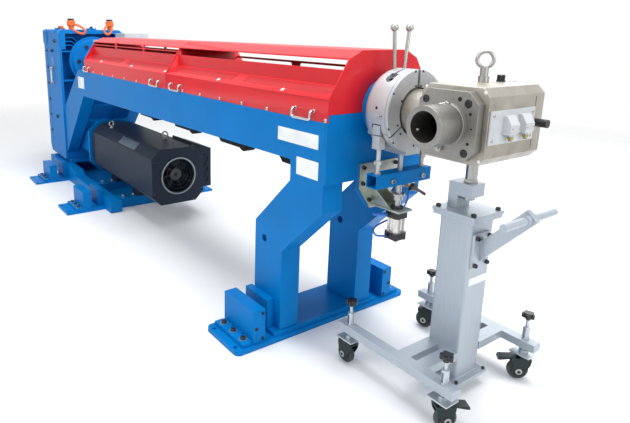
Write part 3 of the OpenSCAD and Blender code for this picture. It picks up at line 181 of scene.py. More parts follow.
class Finish:
    """One material: its shader, its coordinates and the nodes that vary it over the surface."""

    def __init__(self, name, **constants):
        self.material = bpy.data.materials.new(name)
        self.material.use_nodes = True
        self.tree = self.material.node_tree
        self.shader = self.tree.nodes["Principled BSDF"]
        self.place = self.node("ShaderNodeTexCoord", out="Object")
        self.set(**constants)

    def plug(self, value, target):
        """Links a wire to a socket, or writes a plain value on it."""
        if isinstance(value, Wire):
            self.tree.links.new(value.socket, target)
        else:
            target.default_value = value

    def node(self, kind, out=0, settings=None, **sockets):
        """Adds a node: its settings first, then values or wires for its sockets, by name or as i0, i1..."""
        made = self.tree.nodes.new(kind)
        for key, value in (settings or {}).items():
            setattr(made, key, value)
        for key, value in sockets.items():
            numbered = key[0] == "i" and key[1:].isdigit()
            self.plug(value, made.inputs[int(key[1:]) if numbered else key.replace("_", " ")])
        return Wire(self, made.outputs[out])

    def set(self, **sockets):
        """Values or wires for the shader's own sockets, named with _ for a space."""
        for key, value in sockets.items():
            self.plug(value, self.shader.inputs[key.replace("_", " ")])

    def noise(self, scale, detail=3.0, stretch=(1, 1, 1)):
        """Cloudy values about 0.5, with scale waves to the metre, drawn out along an axis by stretch."""
        place = self.node("ShaderNodeMapping", Vector=self.place, Scale=stretch)
        return self.node("ShaderNodeTexNoise", Vector=place, Scale=scale, Detail=detail)

    def blend(self, share, first, second):
        """A colour that goes from first to second as share goes from 0 to 1."""
        return self.node("ShaderNodeMix", out=2, settings={"data_type": "RGBA"},
                         i0=share, i6=first, i7=second)

    def bump(self, height, depth, strength=1.0):
        """Tilts the normal as if height, from 0 to 1, rose by depth metres."""
        self.set(Normal=self.node("ShaderNodeBump", Height=height, Distance=depth, Strength=strength))

    def axis(self, which):
        """One coordinate of the surface point, in metres: 0 for X, 1 for Y, 2 for Z."""
        return self.node("ShaderNodeSeparateXYZ", out=which, Vector=self.place)


def rgb(text):
    """A colour written as six hex digits, turned into the linear values that shaders use."""
    share = np.array([int(text[k:k + 2], 16) for k in (0, 2, 4)]) / 255
    linear = np.where(share <= 0.04045, share / 12.92, ((share + 0.055) / 1.055) ** 2.4)
    return (*(float(v) for v in linear), 1.0)


def shade(colour, factor):
    """The same colour, lighter or darker by a factor."""
    return (*(min(1.0, v * factor) for v in colour[:3]), 1.0)


# %% [markdown]
# ## Paint
# The frame, the gearbox and the hood are sprayed. Sprayed enamel is a plain colour under a clear skin that
# ripples slightly, as orange peel does, so broad reflections break up. A coat layer gives the skin, a fine
# noise gives the ripple, and a very broad noise keeps large panels from looking flat.

# %% Sprayed enamel
def enamel(name, colour, rough=0.42, coat=0.03, peel=0.00022, dust=0.10, gloss=0.08):
    """Sprayed paint: colour drifts by a few per cent, roughness by dust, and the skin ripples."""
    paint = Finish(name, Coat_Roughness=0.12, Coat_Weight=coat, Specular_IOR_Level=gloss)
    drift = paint.noise(2.3, 4.0)
    fine = paint.noise(55.0, 2.0)
    film = paint.noise(9.0, 6.0)
    share = (0.65 * drift + 0.35 * film).step(0.32, 0.68)
    paint.set(Base_Color=paint.blend(share, shade(colour, 0.91), shade(colour, 1.08)))
    paint.set(Roughness=rough + dust * (film - 0.5))
    paint.bump(fine, peel)
    return paint.material


BLUE = rgb("0074bc")
RED = rgb("d21e28")
frame_paint = enamel("frame_enamel", BLUE)
gearbox_paint = enamel("gearbox_enamel", rgb("0f78c4"), rough=0.45, peel=0.0006)
hood_paint = enamel("hood_enamel", RED, rough=0.40, coat=0.10, peel=0.00016, gloss=0.3)
motor_paint = enamel("motor_enamel", rgb("27303d"), rough=0.46, coat=0.04, peel=0.0005)
blower_paint = enamel("blower_enamel", rgb("15181c"), rough=0.5, coat=0.0, peel=0.0006)
lifting_paint = enamel("lifting_enamel", rgb("ef6f3c"), rough=0.38, coat=0.1, peel=0.0003)
castor_paint = enamel("castor_enamel", rgb("0d201f"), rough=0.34, coat=0.1, peel=0.0003, gloss=0.3)
print("paints:", [m.name for m in bpy.data.materials if m.name.endswith("_enamel")])

# %% [markdown]
# ## Bare and plated metal
# Milled and turned steel shows the tool's lines, so its roughness and its bump follow a noise that is drawn
# out along one axis. Warm oil stains lie over it in clouds. Zinc plate is finer grained with pale spangles,
# and chrome is nearly smooth.

# %% Steel, zinc and chrome
def milled(name, colour, stain, rough=0.34, grain=(1, 1, 9), depth=0.00006, metal=0.9, stains=0.5):
    """Machined steel: lines across one axis, with clouds of stain colour where oil has dried."""
    steel = Finish(name, Metallic=metal)
    lines = steel.noise(150.0, 3.0, grain)
    clouds = steel.noise(11.0, 6.0)
    spread = steel.noise(2.6, 3.0)
    share = stains * (0.6 * clouds + 0.4 * spread).step(0.44, 0.68)
    bright = steel.blend(lines.step(0.3, 0.7), shade(colour, 0.9), shade(colour, 1.08))
    steel.set(Base_Color=steel.blend(share, bright, stain))
    steel.set(Roughness=rough + 0.16 * (lines - 0.5) + 0.12 * share)
    steel.bump(lines, depth)
    return steel.material


head_steel = milled("head_steel", rgb("b0aca4"), rgb("7f776a"), rough=0.38, stains=0.7)
inlet_steel = milled("inlet_steel", rgb("8f8e8b"), rgb("75706a"), rough=0.38, grain=(1, 9, 1))
clamp_steel = milled("clamp_steel", rgb("babcbf"), rgb("8f9092"), rough=0.45, grain=(9, 1, 1), metal=0.6)
bright_steel = milled("bright_steel", rgb("a9a9a6"), rgb("8b8882"), rough=0.28, depth=0.0, stains=0.2)
barrel_steel = milled("barrel_steel", rgb("8d8b88"), rgb("6a5f55"), rough=0.45, grain=(9, 1, 1))
zinc_metal = milled("zinc_plate", rgb("b8bcae"), rgb("8f9a96"), rough=0.38, grain=(3, 3, 1), stains=0.7)
aluminium = milled("cylinder_metal", rgb("d9d6d0"), rgb("b3a796"), rough=0.26, grain=(9, 9, 1), stains=0.35)
brass_metal = milled("valve_brass", rgb("a99a70"), rgb("7d6f4a"), rough=0.34, grain=(4, 4, 1))
feed_metal = milled("feed_metal", rgb("c4ccd2"), rgb("aab2b8"), rough=0.42, metal=0.4)
chrome = milled("handle_chrome", rgb("c2c3c4"), rgb("9fa2a4"), rough=0.14, depth=0.0, metal=1.0, stains=0.3)
print("metals:", len(bpy.data.materials))

# %% [markdown]
# ## Brushed aluminium of the trolley
# The trolley is welded from aluminium and brushed along its length. It looks pale blue-grey because it
# mirrors a bright hall, so it is only partly metallic here, and its pale blue-grey base colour is a painted
# reflection of that hall.

# %% Brushed trolley and plastics
def brushed(name, colour, rough=0.40):
    """Brushed aluminium: long fine lines, lighter and darker patches, a soft sheen."""
    metal = Finish(name, Metallic=0.4)
    lines = metal.noise(220.0, 2.0, (1, 1, 0.05))
    patches = metal.noise(5.0, 4.0)
    share = 0.5 * lines + 0.5 * patches
    metal.set(Base_Color=metal.blend(share.step(0.3, 0.7), shade(colour, 0.9), shade(colour, 1.06)))
    metal.set(Roughness=rough + 0.14 * (patches - 0.5))
    metal.bump(lines, 0.00003)
    return metal.material


def moulded(name, colour, rough=0.45, grain=700.0, depth=0.00008):
    """Moulded plastic or rubber: an even colour with a fine pebbled skin."""
    plastic = Finish(name)
    pebble = plastic.noise(grain, 2.0)
    cloud = plastic.noise(12.0, 3.0)
    plastic.set(Base_Color=plastic.blend(cloud.step(0.3, 0.7), shade(colour, 0.88), shade(colour, 1.12)))
    plastic.set(Roughness=rough + 0.14 * (pebble - 0.5))
    plastic.bump(pebble, depth)
    return plastic.material


# The pale blue-grey base colour is a painted reflection of a bright hall.
trolley_reflection_painted = brushed("trolley_aluminium", rgb("abb4bd"))
connector_grey = moulded("connector_grey", rgb("b9bec4"), rough=0.42)
tyre_rubber = moulded("castor_tyre", rgb("3a3d40"), rough=0.62)
black_oxide = moulded("black_oxide", rgb("1b1c1f"), rough=0.36, grain=300.0, depth=0.00005)
hose_plastic = moulded("hose_blue", rgb("1f66c4"), rough=0.3)
fan_plastic = moulded("fan_dark", rgb("34373c"), rough=0.4)
plate_white = moulded("plate_white", rgb("e9edee"), rough=0.35, grain=60.0, depth=0.00003)
# A near-black used as painted shade in holes, slots and counterbore gaps, and as the own dark colour of the
# head's seam lines.
painted_shade_and_seam = moulded("painted_shade_and_seam", rgb("0c0d0f"), rough=0.8)
print("finishes in all:", len(bpy.data.materials))

# %% [markdown]
# ## Dressing the solids
# Real plate has no knife edges. The solids come as loose triangles, so three live modifiers finish each of
# them: Weld joins the triangles, Decimate merges flat ones into whole faces, and Bevel rounds the edges by a
# millimetre or two. Weighted Normal then keeps the large faces flat in the light.

# %% Finishes and soft edges for every solid
FINISH_OF_SLOT = {
    "frame_blue": frame_paint, "gearbox_blue": gearbox_paint, "lifting_orange": lifting_paint,
    "motor_black": motor_paint, "fan_dark": fan_plastic, "bright_steel": bright_steel,
    "hood_red": hood_paint, "feed_grey": feed_metal, "barrel_steel": barrel_steel,
    "blower_black": blower_paint, "clamp_steel": clamp_steel, "zinc_plate": zinc_metal,
    "cylinder_alu": aluminium, "valve_brass": brass_metal, "hose_blue": hose_plastic,
    "head_steel": head_steel, "connector_grey": connector_grey, "trolley_silver": trolley_reflection_painted,
    "castor_green": castor_paint, "castor_tyre": tyre_rubber}
SLOT_OF_NODE = {part["node"]: part["material_slot"] for part in frame["record"]["subparts"]}
EDGE_MM = {"hood_rear": 0.8, "hood_front": 0.8, "motor_fan": 0.6, "connectors": 1.2, "eyebolts": 0.6,
           "gearbox_housing": 5.0, "gearbox_flange": 3.0, "motor_body": 2.5, "rear_rails": 3.0}
DEFAULT_EDGE_MM = 1.6
WELD_GAP, FLAT_BELOW, BEVEL_ABOVE = 1e-5, math.radians(0.6), math.radians(28)


def soften(solid, width_mm):
    """Live modifiers that weld the triangles, merge flat ones and round the sharp edges by width_mm."""
    weld = solid.modifiers.new("weld", "WELD")
    weld.merge_threshold = WELD_GAP
    flat = solid.modifiers.new("flat_faces", "DECIMATE")
    flat.decimate_type = "DISSOLVE"
    flat.angle_limit = FLAT_BELOW
    edge = solid.modifiers.new("edge", "BEVEL")
    edge.width = width_mm / 1000
    edge.segments = 2
    edge.limit_method = "ANGLE"
    edge.angle_limit = BEVEL_ABOVE
    edge.use_clamp_overlap = True
    solid.modifiers.new("flat_light", "WEIGHTED_NORMAL")


# %% [markdown]
# ## Solids with two finishes
# A jack has a bright tube under a black star knob, the air cylinder has black end caps, and the connectors
# end in a black fitting. Each is one solid, so its finish changes at a height or a length: a mask is 1
# between two edges along one axis and 0 beyond them, and it mixes two colours, roughnesses and metals.

# %% Finishes of single solids
HAIR = 0.0004


def two_tone(name, inner, outer, which, edges, rough=(0.34, 0.34), metal=(0.85, 0.0)):
    """Finish inner between two edges along axis which, and finish outer beyond them."""
    both = Finish(name)
    along = both.axis(which)
    inside = along.step(edges[0] - HAIR, edges[0] + HAIR) * (1 - along.step(edges[1] - HAIR, edges[1] + HAIR))
    cloud = both.noise(14.0, 5.0)
    grain = both.noise(160.0, 2.0, (1, 1, 6))
    share = cloud.step(0.3, 0.7)
    first = both.blend(share, shade(outer, 0.86), shade(outer, 1.12))
    second = both.blend(share, shade(inner, 0.90), shade(inner, 1.06))
    both.set(Base_Color=both.blend(inside, first, second))
    both.set(Roughness=rough[1] + (rough[0] - rough[1]) * inside + 0.12 * (grain - 0.5))
    both.set(Metallic=metal[1] + (metal[0] - metal[1]) * inside)
    both.bump(grain, 0.00003)
    return both.material


BLACK = rgb("17181b")
FAR = 9.0
KNOB_Z, TUBE_Z, FITTING_Y = 0.242, (0.543, 0.599), 0.138
FINISH_OF_NODE = {
    "jack_screws": two_tone("jack_finish", rgb("b9c0c6"), BLACK, 2, (-FAR, KNOB_Z), rough=(0.36, 0.24)),
    "air_cylinder": two_tone("cylinder_finish", rgb("c9c6c0"), BLACK, 2, TUBE_Z, rough=(0.26, 0.42)),
    "link_rods": milled("link_steel", rgb("c4c5c3"), rgb("9fa09c"), rough=0.36, depth=0.0, metal=0.6,
                        stains=0.3),
    "inlet_tube": inlet_steel,
    "connectors": two_tone("connector_finish", rgb("c6cacd"), BLACK, 1, (-FAR, FITTING_Y), rough=(0.42, 0.4),
                           metal=(0.1, 0.0)),
    "motor_air_ring": milled("air_ring_steel", rgb("7f868d"), rgb("585e64"), rough=0.3, depth=0.0)}

for name, solid in nodes.items():
    solid.data.materials.clear()
    solid.data.materials.append(FINISH_OF_NODE.get(name, FINISH_OF_SLOT[SLOT_OF_NODE[name]]))
    soften(solid, EDGE_MM.get(name, DEFAULT_EDGE_MM))
print("dressed", len(nodes), "solids,", len(FINISH_OF_NODE), "with a finish of their own")

# %% [markdown]
# ## Surfaces from two parameters
# Every added piece is a grid of points that a formula gives for two parameters, or a profile that is carried
# along a path. Whole arrays are worked out at once, and the faces only join neighbours on the grid.

# %% Grids, lathes and sweeps
def grid(points, wrap_rows=False, wrap_columns=True):
    """Faces between neighbours of a (rows, columns, 3) array, closed round either way on request."""
    rows, columns = points.shape[:2]
    a, b = np.meshgrid(np.arange(rows if wrap_rows else rows - 1),
                       np.arange(columns if wrap_columns else columns - 1), indexing="ij")
    c, d = (a + 1) % rows, (b + 1) % columns
    faces = np.stack([a * columns + b, a * columns + d, c * columns + d, c * columns + b], -1)
    return points.reshape(-1, 3), faces.reshape(-1, 4)


def lathe(profile, sides=24):
    """A profile of (radius, height) rows turned round Z. A radius may be an array over the angle."""
    angle = np.linspace(0, 2 * np.pi, sides, endpoint=False)
    radius = np.stack([np.broadcast_to(r, angle.shape) for r, _ in profile])
    height = np.array([h for _, h in profile])[:, None] + 0 * radius
    return grid(np.stack([radius * np.cos(angle), radius * np.sin(angle), height], -1))


def hexagon(apothem, sides=24):
    """Radius over the angle of a hexagon whose flats lie apothem from its middle."""
    angle = np.linspace(0, 2 * np.pi, sides, endpoint=False)
    return apothem / np.cos((angle + np.pi / 6) % (np.pi / 3) - np.pi / 6)


def sweep(path, radius, sides=12, across=(0.13, 0.21, 1.0)):
    """A round bar along a path of points: rings square to the path, closed by a point at each end."""
    path = np.asarray(path, float)
    ahead = np.gradient(path, axis=0)
    ahead /= np.linalg.norm(ahead, axis=1, keepdims=True)
    first = np.cross(ahead, across)
    first /= np.linalg.norm(first, axis=1, keepdims=True)
    second = np.cross(ahead, first)
    angle = np.linspace(0, 2 * np.pi, sides, endpoint=False)
    ring = np.cos(angle)[None, :, None] * first[:, None] + np.sin(angle)[None, :, None] * second[:, None]
    size = np.broadcast_to(radius, (len(path),))[:, None, None]
    body = path[:, None] + size * ring
    ends = [np.repeat(path[k][None, None], sides, 1) for k in (0, -1)]
    return grid(np.concatenate([ends[0], body, ends[1]]))


def rounded_path(corners, bend, steps=6):
    """A line through corners whose turns are arcs of radius bend, as an array of points."""
    corners = np.asarray(corners, float)
    points = [corners[0]]
    for before, turn, after in zip(corners[:-2], corners[1:-1], corners[2:]):
        one = (before - turn) / np.linalg.norm(before - turn)
        two = (after - turn) / np.linalg.norm(after - turn)
        half = np.arccos(np.clip(one @ two, -1, 1)) / 2
        reach = bend / np.tan(half)
        middle = turn + (one + two) / np.linalg.norm(one + two) * bend / np.sin(half)
        start, end = turn + one * reach - middle, turn + two * reach - middle
        share = np.linspace(0, 1, steps + 1)[:, None]
        spread = np.pi - 2 * half
        arc = (np.sin((1 - share) * spread) * start + np.sin(share * spread) * end) / np.sin(spread)
        points.extend(middle + arc)
    return np.array([*points, corners[-1]])


def block(half, edge, steps=3):
    """A block of half sizes half with edges rounded by edge: a ball's eighths pulled apart, then capped."""
    half = np.asarray(half, float)
    quarter = np.linspace(0, np.pi / 2, steps + 1)
    turn = np.concatenate([quarter + k * np.pi / 2 for k in range(4)])
    side = np.repeat(np.array([[1, 1], [-1, 1], [-1, -1], [1, -1]]), steps + 1, axis=0)
    rise = np.concatenate([quarter - np.pi / 2, quarter])
    top = np.repeat([-1, 1], steps + 1)
    ball = np.stack([np.cos(rise)[:, None] * np.cos(turn), np.cos(rise)[:, None] * np.sin(turn),
                     np.sin(rise)[:, None] + 0 * turn], -1)
    corner = np.stack([0 * rise[:, None] + side[:, 0], 0 * rise[:, None] + side[:, 1],
                       top[:, None] + 0 * turn], -1)
    shell = edge * ball + corner * (half - edge)
    cap = np.zeros_like(shell[:1])
    cap[..., 2] = half[2]
    return grid(np.concatenate([-cap, shell, cap]))


def facing(direction):
    """A turn that carries Z to direction, as three columns."""
    ahead = np.asarray(direction, float)
    ahead = ahead / np.linalg.norm(ahead)
    helper = np.array([0.0, 0.0, 1.0]) if abs(ahead[2]) < 0.9 else np.array([1.0, 0.0, 0.0])
    side = np.cross(helper, ahead)
    side /= np.linalg.norm(side)
    return np.column_stack([side, np.cross(ahead, side), ahead])


def stamp(shape, places, direction=(0, 0, 1)):
    """Copies of one shape at many places, turned so that its Z looks along direction."""
    points, faces = shape
    places = np.atleast_2d(np.asarray(places, float))
    copies = (points @ facing(direction).T)[None] + places[:, None]
    shift = (np.arange(len(places)) * len(points))[:, None, None]
    return copies.reshape(-1, 3), (faces[None] + shift).reshape(-1, 4)


def move(shape, place, direction=(0, 0, 1)):
    """One copy of a shape at a place, turned so that its Z looks along direction."""
    return stamp(shape, [place], direction)


# %% [markdown]
# ## From arrays to pieces
# A piece joins its arrays into one mesh, merges the points that meet at poles, turns its faces outwards and
# rides on the body that carries it.

# %% Making a piece
MM = 0.001
SMOOTH_BELOW, SAME_POINT = math.radians(38), 1e-6


def piece(name, shapes, finish, body="stand"):
    """One object from several (points, faces) shapes, riding on a body."""
    starts = np.cumsum([0] + [len(points) for points, _ in shapes[:-1]])
    points = np.concatenate([p for p, _ in shapes])
    faces = np.concatenate([f + start for (_, f), start in zip(shapes, starts)])
    mesh = bpy.data.meshes.new(name)
    mesh.from_pydata(points, [], faces)
    work = bmesh.new()
    work.from_mesh(mesh)
    bmesh.ops.remove_doubles(work, verts=work.verts, dist=SAME_POINT)
    bmesh.ops.recalc_face_normals(work, faces=work.faces)
    work.to_mesh(mesh)
    work.free()
    mesh.shade_smooth()
    mesh.set_sharp_from_angle(angle=SMOOTH_BELOW)
    mesh.materials.append(finish)
    made = bpy.data.objects.new(name, mesh)
    bpy.context.scene.collection.objects.link(made)
    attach(made, body)
    return made


def turned(rows, sides=24):
    """A lathed shape from rows of (radius, height) in millimetres."""
    return lathe([(radius * MM, height * MM) for radius, height in rows], sides)


def socket_screw(radius, height, sides=24):
    """Cap screw on Z = 0: a chamfered drum whose inner rows shrink to a hexagonal socket."""
    six = hexagon(0.55 * radius, sides)
    return lathe([(0 * six, 0), (radius, 0), (radius, 0.82 * height), (0.88 * radius, height), (six, height),
                  (six, 0.45 * height), (0 * six, 0.4 * height)], sides)


def hex_bolt(radius, height, sides=24):
    """Hexagon bolt head on a round washer."""
    six = hexagon(0.87 * radius, sides)
    thin = 0.22 * height
    return lathe([(0 * six, 0), (1.45 * radius, 0), (1.45 * radius, thin), (six, thin), (six, 0.88 * height),
                  (0.8 * radius, height), (0 * six, height)], sides)


def dome_screw(radius, height, sides=16):
    """Button head: a quarter ellipse turned round, with a small socket."""
    rise = np.linspace(0, np.pi / 2, 5)[:-1]
    rows = [(radius * math.cos(t), height * math.sin(t)) for t in rise]
    return lathe([(0, 0), *rows, (0.4 * radius, height), (0.35 * radius, 0.55 * height),
                  (0, 0.5 * height)], sides)


def disc(radius, sides=10):
    """A flat round spot on Z = 0."""
    return lathe([(0, 0), (radius, 0)], sides)


print("kit ready")

# %% [markdown]
# ## The hood's small parts
# Screws hold the skirt to the beam, bent chrome handles lift the two sections off, small pale catches sit on
# the fold, and fields of punched holes let hot air out of the sloping ledge. The holes follow the ledge's own
# slope, so each one is a dark spot of painted shade just proud of the sheet.

# %% Hood screws, catches and handles
hood_low, hood_high = (np.array(v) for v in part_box("hood_front"))
rear_low, rear_high = (np.array(v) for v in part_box("hood_rear"))
SIDES = np.array([-1, 1])
SCREW_AXIS_Z = 1.0
SKIRT_SCREW_UP, LAST_SCREW_INSET, SCREWS_IN_ROW = 8 * MM, 14 * MM, 5
FRONT_SCREW_X, FRONT_SCREW_PITCH = -0.019, 0.186
REAR_SCREW_X, REAR_SCREW_PITCH = -1.373, 0.202
hood_side = hood_high[1]
skirt_screw_z = hood_low[2] + SKIRT_SCREW_UP
in_row = np.arange(SCREWS_IN_ROW)
skirt_screw_x = np.array([hood_high[0] - LAST_SCREW_INSET, *(FRONT_SCREW_X - FRONT_SCREW_PITCH * in_row),
                          *(REAR_SCREW_X - REAR_SCREW_PITCH * in_row)])


def on_both_sides(make):
    """The shapes that make(side) gives for the near side, -1, and the far side, +1."""
    return [shape for side in SIDES for shape in make(side)]


def skirt_screws(side):
    """A row of button screws along the foot of the skirt."""
    places = [(x, side * hood_side, skirt_screw_z) for x in skirt_screw_x]
    return [stamp(dome_screw(8.5 * MM, 5 * MM), places, (0, side, 0))]


piece("hood_screws", on_both_sides(skirt_screws), bright_steel)

SEAM_GAP, HANDLE_INSET, REAR_HANDLE_INSET, HANDLE_UP = 0.002, 0.13, 0.08, 35 * MM
HANDLE_X = np.array([rear_low[0] + REAR_HANDLE_INSET, rear_high[0] + SEAM_GAP - HANDLE_INSET,
                     hood_low[0] - SEAM_GAP + HANDLE_INSET, hood_high[0] - HANDLE_INSET])
HANDLE_GRIP, HANDLE_REACH, HANDLE_DROP, HANDLE_WIRE, HANDLE_BEND = 0.104, 0.017, 0.031, 0.0055, 10 * MM
handle_z = hood_low[2] + HANDLE_UP
handle_washer = turned([(0, 0), (7.5, 0), (7, 1), (0, 1)])


def handles(side):
    """Round bars bent to a U: out of the skirt, down, along, up and back, with a washer at each foot."""
    shapes = []
    out, low = side * (hood_side + HANDLE_REACH), handle_z - HANDLE_DROP
    for x in HANDLE_X:
        left, right = x - HANDLE_GRIP / 2, x + HANDLE_GRIP / 2
        feet = [(left, side * hood_side, handle_z), (right, side * hood_side, handle_z)]
        path = rounded_path([feet[0], (left, out, handle_z), (left, out, low), (right, out, low),
                             (right, out, handle_z), feet[1]], HANDLE_BEND)
        shapes.append(sweep(path, HANDLE_WIRE))
        shapes.append(stamp(handle_washer, feet, (0, side, 0)))
    return shapes


handle_piece = piece("hood_handle_bars", on_both_sides(handles), chrome)
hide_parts("hood_handles")

SKIRT_H, FOLD_Y, FOLD_Z = 83 * MM, 192 * MM, 126 * MM
LEDGE_LIFT = 0.25 * MM
ledge_foot = np.array([0, hood_side, hood_low[2] + SKIRT_H])
ledge_head = np.array([0, FOLD_Y, hood_low[2] + FOLD_Z])
ledge_run = np.linalg.norm(ledge_head - ledge_foot)
ledge_up = np.cross((ledge_head - ledge_foot) / ledge_run, [1, 0, 0])


def on_ledge(x, share, side, lift=LEDGE_LIFT):
    """Points on the sloping ledge: share goes from 0 at its lower fold to 1 at its upper fold."""
    share = np.asarray(share)[..., None]
    point = ledge_foot + share * (ledge_head - ledge_foot)
    point = point + lift * ledge_up
    point[..., 0] = x
    point[..., 1] *= side
    return point


def ledge_normal(side):
    """The direction straight out of the ledge on one side."""
    return ledge_up * np.array([1, side, 1])


CATCH_X = np.array([0.062, -0.427, -0.997, -1.483, -2.036])
CATCH_SHARE, CATCH_R, CATCH_H = 0.21, 9 * MM, 3 * MM


def catches(side):
    """Round studs with a low dome, pressed into the ledge near its lower fold."""
    places = on_ledge(CATCH_X, np.full(len(CATCH_X), CATCH_SHARE), side, 0.0)
    rise = np.linspace(0, np.pi / 2, 6)
    stud = lathe([(0, 0), *((CATCH_R * math.cos(a), CATCH_H * math.sin(a)) for a in rise)], 20)
    return [stamp(stud, places, ledge_normal(side))]


piece("hood_catches", on_both_sides(catches), plate_white)
print("hood screws, handles and catches on each side:", len(skirt_screw_x), len(HANDLE_X), len(CATCH_X))

# %% Punched holes of the ledge
PUNCH_PITCH, PUNCH_R, PUNCH_ROWS, PUNCH_SIDES = 10.0 * MM, 3.0 * MM, 6, 8
PUNCH_FROM, PUNCH_SPAN, PUNCH_ROUNDING_MM = 0.36, 0.48, 1.6
PUNCH_FIELDS = [(-0.255, 0.325), (-0.925, -0.315), (-1.630, -1.000), (-2.350, -1.690)]


def punched(side):
    """Staggered rows of round holes as dark discs of painted shade, with the rows shortened at the ends of
    each field to round it off.
    """
    shapes = []
    for start, end in PUNCH_FIELDS:
        row, column = np.meshgrid(np.arange(PUNCH_ROWS), np.arange(int((end - start) / PUNCH_PITCH)))
        x = start + (column + 0.5 * (row % 2)) * PUNCH_PITCH
        inset = np.abs(row - (PUNCH_ROWS - 1) / 2) ** 2 * PUNCH_ROUNDING_MM * MM
        kept = (x > start + inset) & (x < end - inset)
        share = PUNCH_FROM + PUNCH_SPAN * row / (PUNCH_ROWS - 1)
        places = on_ledge(x[kept], share[kept], side)
        shapes.append(stamp(disc(PUNCH_R, PUNCH_SIDES), places, ledge_normal(side)))
    return shapes


# The holes' insides are not built: each hole is a dark red disc of painted shade.
punched_shade_red = moulded("punched_shadow", rgb("4a060c"), rough=0.8)
punch_piece = piece("hood_punched_hole_shade", on_both_sides(punched), punched_shade_red)
print("punched holes:", len(punch_piece.data.polygons) // PUNCH_SIDES)

# %% [markdown]
# ## The front hood section
# Daylight shows through the slot under the hood's roof, because the far side of this section is open lower
# down than the near side, with one thin rail across the opening. The section is folded from sheet, so each
# sheet is a band: an outer and an inner outline of as many points, drawn along the hood. An end plate is such
# a band too, from the hood's outline to the opening for the barrel.

# %% Folded sheets and end plates
SHEET = 4 * MM
CAP_EDGE_H = 220 * MM
CAP_HALF, FLAT_HALF = 178 * MM, 116 * MM
NEAR_PANEL_H, FAR_PANEL_H = 182 * MM, 134 * MM
RAIL_LOW, RAIL_HIGH = 161 * MM, 172 * MM
POST_X, POST_TOP_HALF, POST_FOOT_HALF = -0.408, 38 * MM, 26 * MM
REAR_OPENING_R, FRONT_OPENING_R, OPENING_LIP = 122 * MM, 91 * MM, 29 * MM
hood_foot = hood_low[2]
hood_h = hood_high[2] - hood_foot


def between(ends, count):
    """Walls between two like loops; each is capped by quads from its first count points to its others."""
    points, walls = grid(np.stack(ends))
    k, n = np.arange(count - 1), len(ends[0])
    cap = np.column_stack([k, k + 1, n - 2 - k, n - 1 - k])
    return points, np.vstack([walls, cap, cap + n])


def band(outer, inner, x0, x1):
    """A sheet from x0 to x1 between two outlines of (Y, Z) points above the hood's foot, with closed ends."""
    loop = np.vstack([outer, inner[::-1]]) + [0, hood_foot]
    return between([np.column_stack([np.full(len(loop), x), loop]) for x in (x0, x1)], len(outer))


def side_sheet(side, top):
    """Skirt, sloping ledge and upright inner panel up to height top, on one side."""
    outer = [(hood_side, 0), (hood_side, SKIRT_H), (FOLD_Y, FOLD_Z), (FOLD_Y, top)]
    inner = [(hood_side - SHEET, 0), (hood_side - SHEET, SKIRT_H - SHEET), (FOLD_Y - SHEET, FOLD_Z - SHEET),
             (FOLD_Y - SHEET, top)]
    return np.array(outer) * [side, 1], np.array(inner) * [side, 1]


roof = np.array([(-CAP_HALF, CAP_EDGE_H), (-FLAT_HALF, hood_h), (FLAT_HALF, hood_h), (CAP_HALF, CAP_EDGE_H)])
outline = np.array([(-hood_side, 0), (-hood_side, SKIRT_H), *roof, (hood_side, SKIRT_H), (hood_side, 0)])


def shares(line):
    """How far along a line its points lie, from 0 to 1."""
    run = np.concatenate([[0], np.cumsum(np.linalg.norm(np.diff(line, axis=0), axis=1))])
    return run / run[-1]


def end_plate(opening, x):
    """A band from the hood's outline to the opening, both read off at the same shares of their lengths."""
    at = np.unique(np.round(np.concatenate([shares(outline), shares(opening), np.linspace(0, 1, 33)]), 9))
    read = [np.column_stack([np.interp(at, shares(line), line[:, k]) for k in (0, 1)])
            for line in (outline, opening)]
    return band(read[0], read[1], x, x + SHEET)


def opening(radius, foot, lip):
    """An upside-down U of a radius about the screw axis, with a wide cut of height lip below it."""
    angle = np.linspace(np.pi, 0, 25)
    arch = np.column_stack([radius * np.cos(angle), SCREW_AXIS_Z - hood_foot + radius * np.sin(angle)])
    left = [(-foot, 0), (-foot, lip), (-radius, lip)] if lip else [(-radius, 0)]
    return np.vstack([left, arch, np.array(left)[::-1] * [-1, 1]])


start, end = hood_low[0], hood_high[0]
rear_in, front_in = start + SHEET, end - SHEET
rail = [np.array([(y, RAIL_LOW), (y, RAIL_HIGH)]) for y in (FOLD_Y, FOLD_Y - SHEET)]
sheets = [band(roof, roof - [0, SHEET], rear_in, front_in),
          band(*side_sheet(-1, NEAR_PANEL_H), rear_in, front_in),
          band(*side_sheet(1, FAR_PANEL_H), rear_in, front_in),
          band(*rail, rear_in, front_in),
          end_plate(opening(REAR_OPENING_R, 0, 0), start),
          end_plate(opening(FRONT_OPENING_R, hood_side - SHEET, OPENING_LIP), front_in)]
post = np.array([(POST_X + s * half, y, hood_foot + z) for y in (FOLD_Y, FOLD_Y - SHEET)
                 for half, z in ((POST_FOOT_HALF, FAR_PANEL_H), (POST_TOP_HALF, RAIL_LOW)) for s in (-1, 1)])
post_faces = np.array([(0, 1, 3, 2), (4, 6, 7, 5), (0, 2, 6, 4), (1, 5, 7, 3), (0, 4, 5, 1), (2, 3, 7, 6)])
front_hood = piece("hood_front_sheets", sheets + [(post, post_faces)], hood_paint)
soften(front_hood, EDGE_MM["hood_front"])
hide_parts("hood_front")
print("front hood sheets:", len(sheets))

# %% [markdown]
# ## The beam and its blowers
# The side plates of the beam are welded sheet with a lip inside. Their lower edge rises a little towards the
# front, so the blowers under the barrel show below it. A box could be cut to this shape, but a prism is
# plainer: a lower and an upper line of (X, Z) points, drawn across the machine. The blowers stay where their
# solids are.

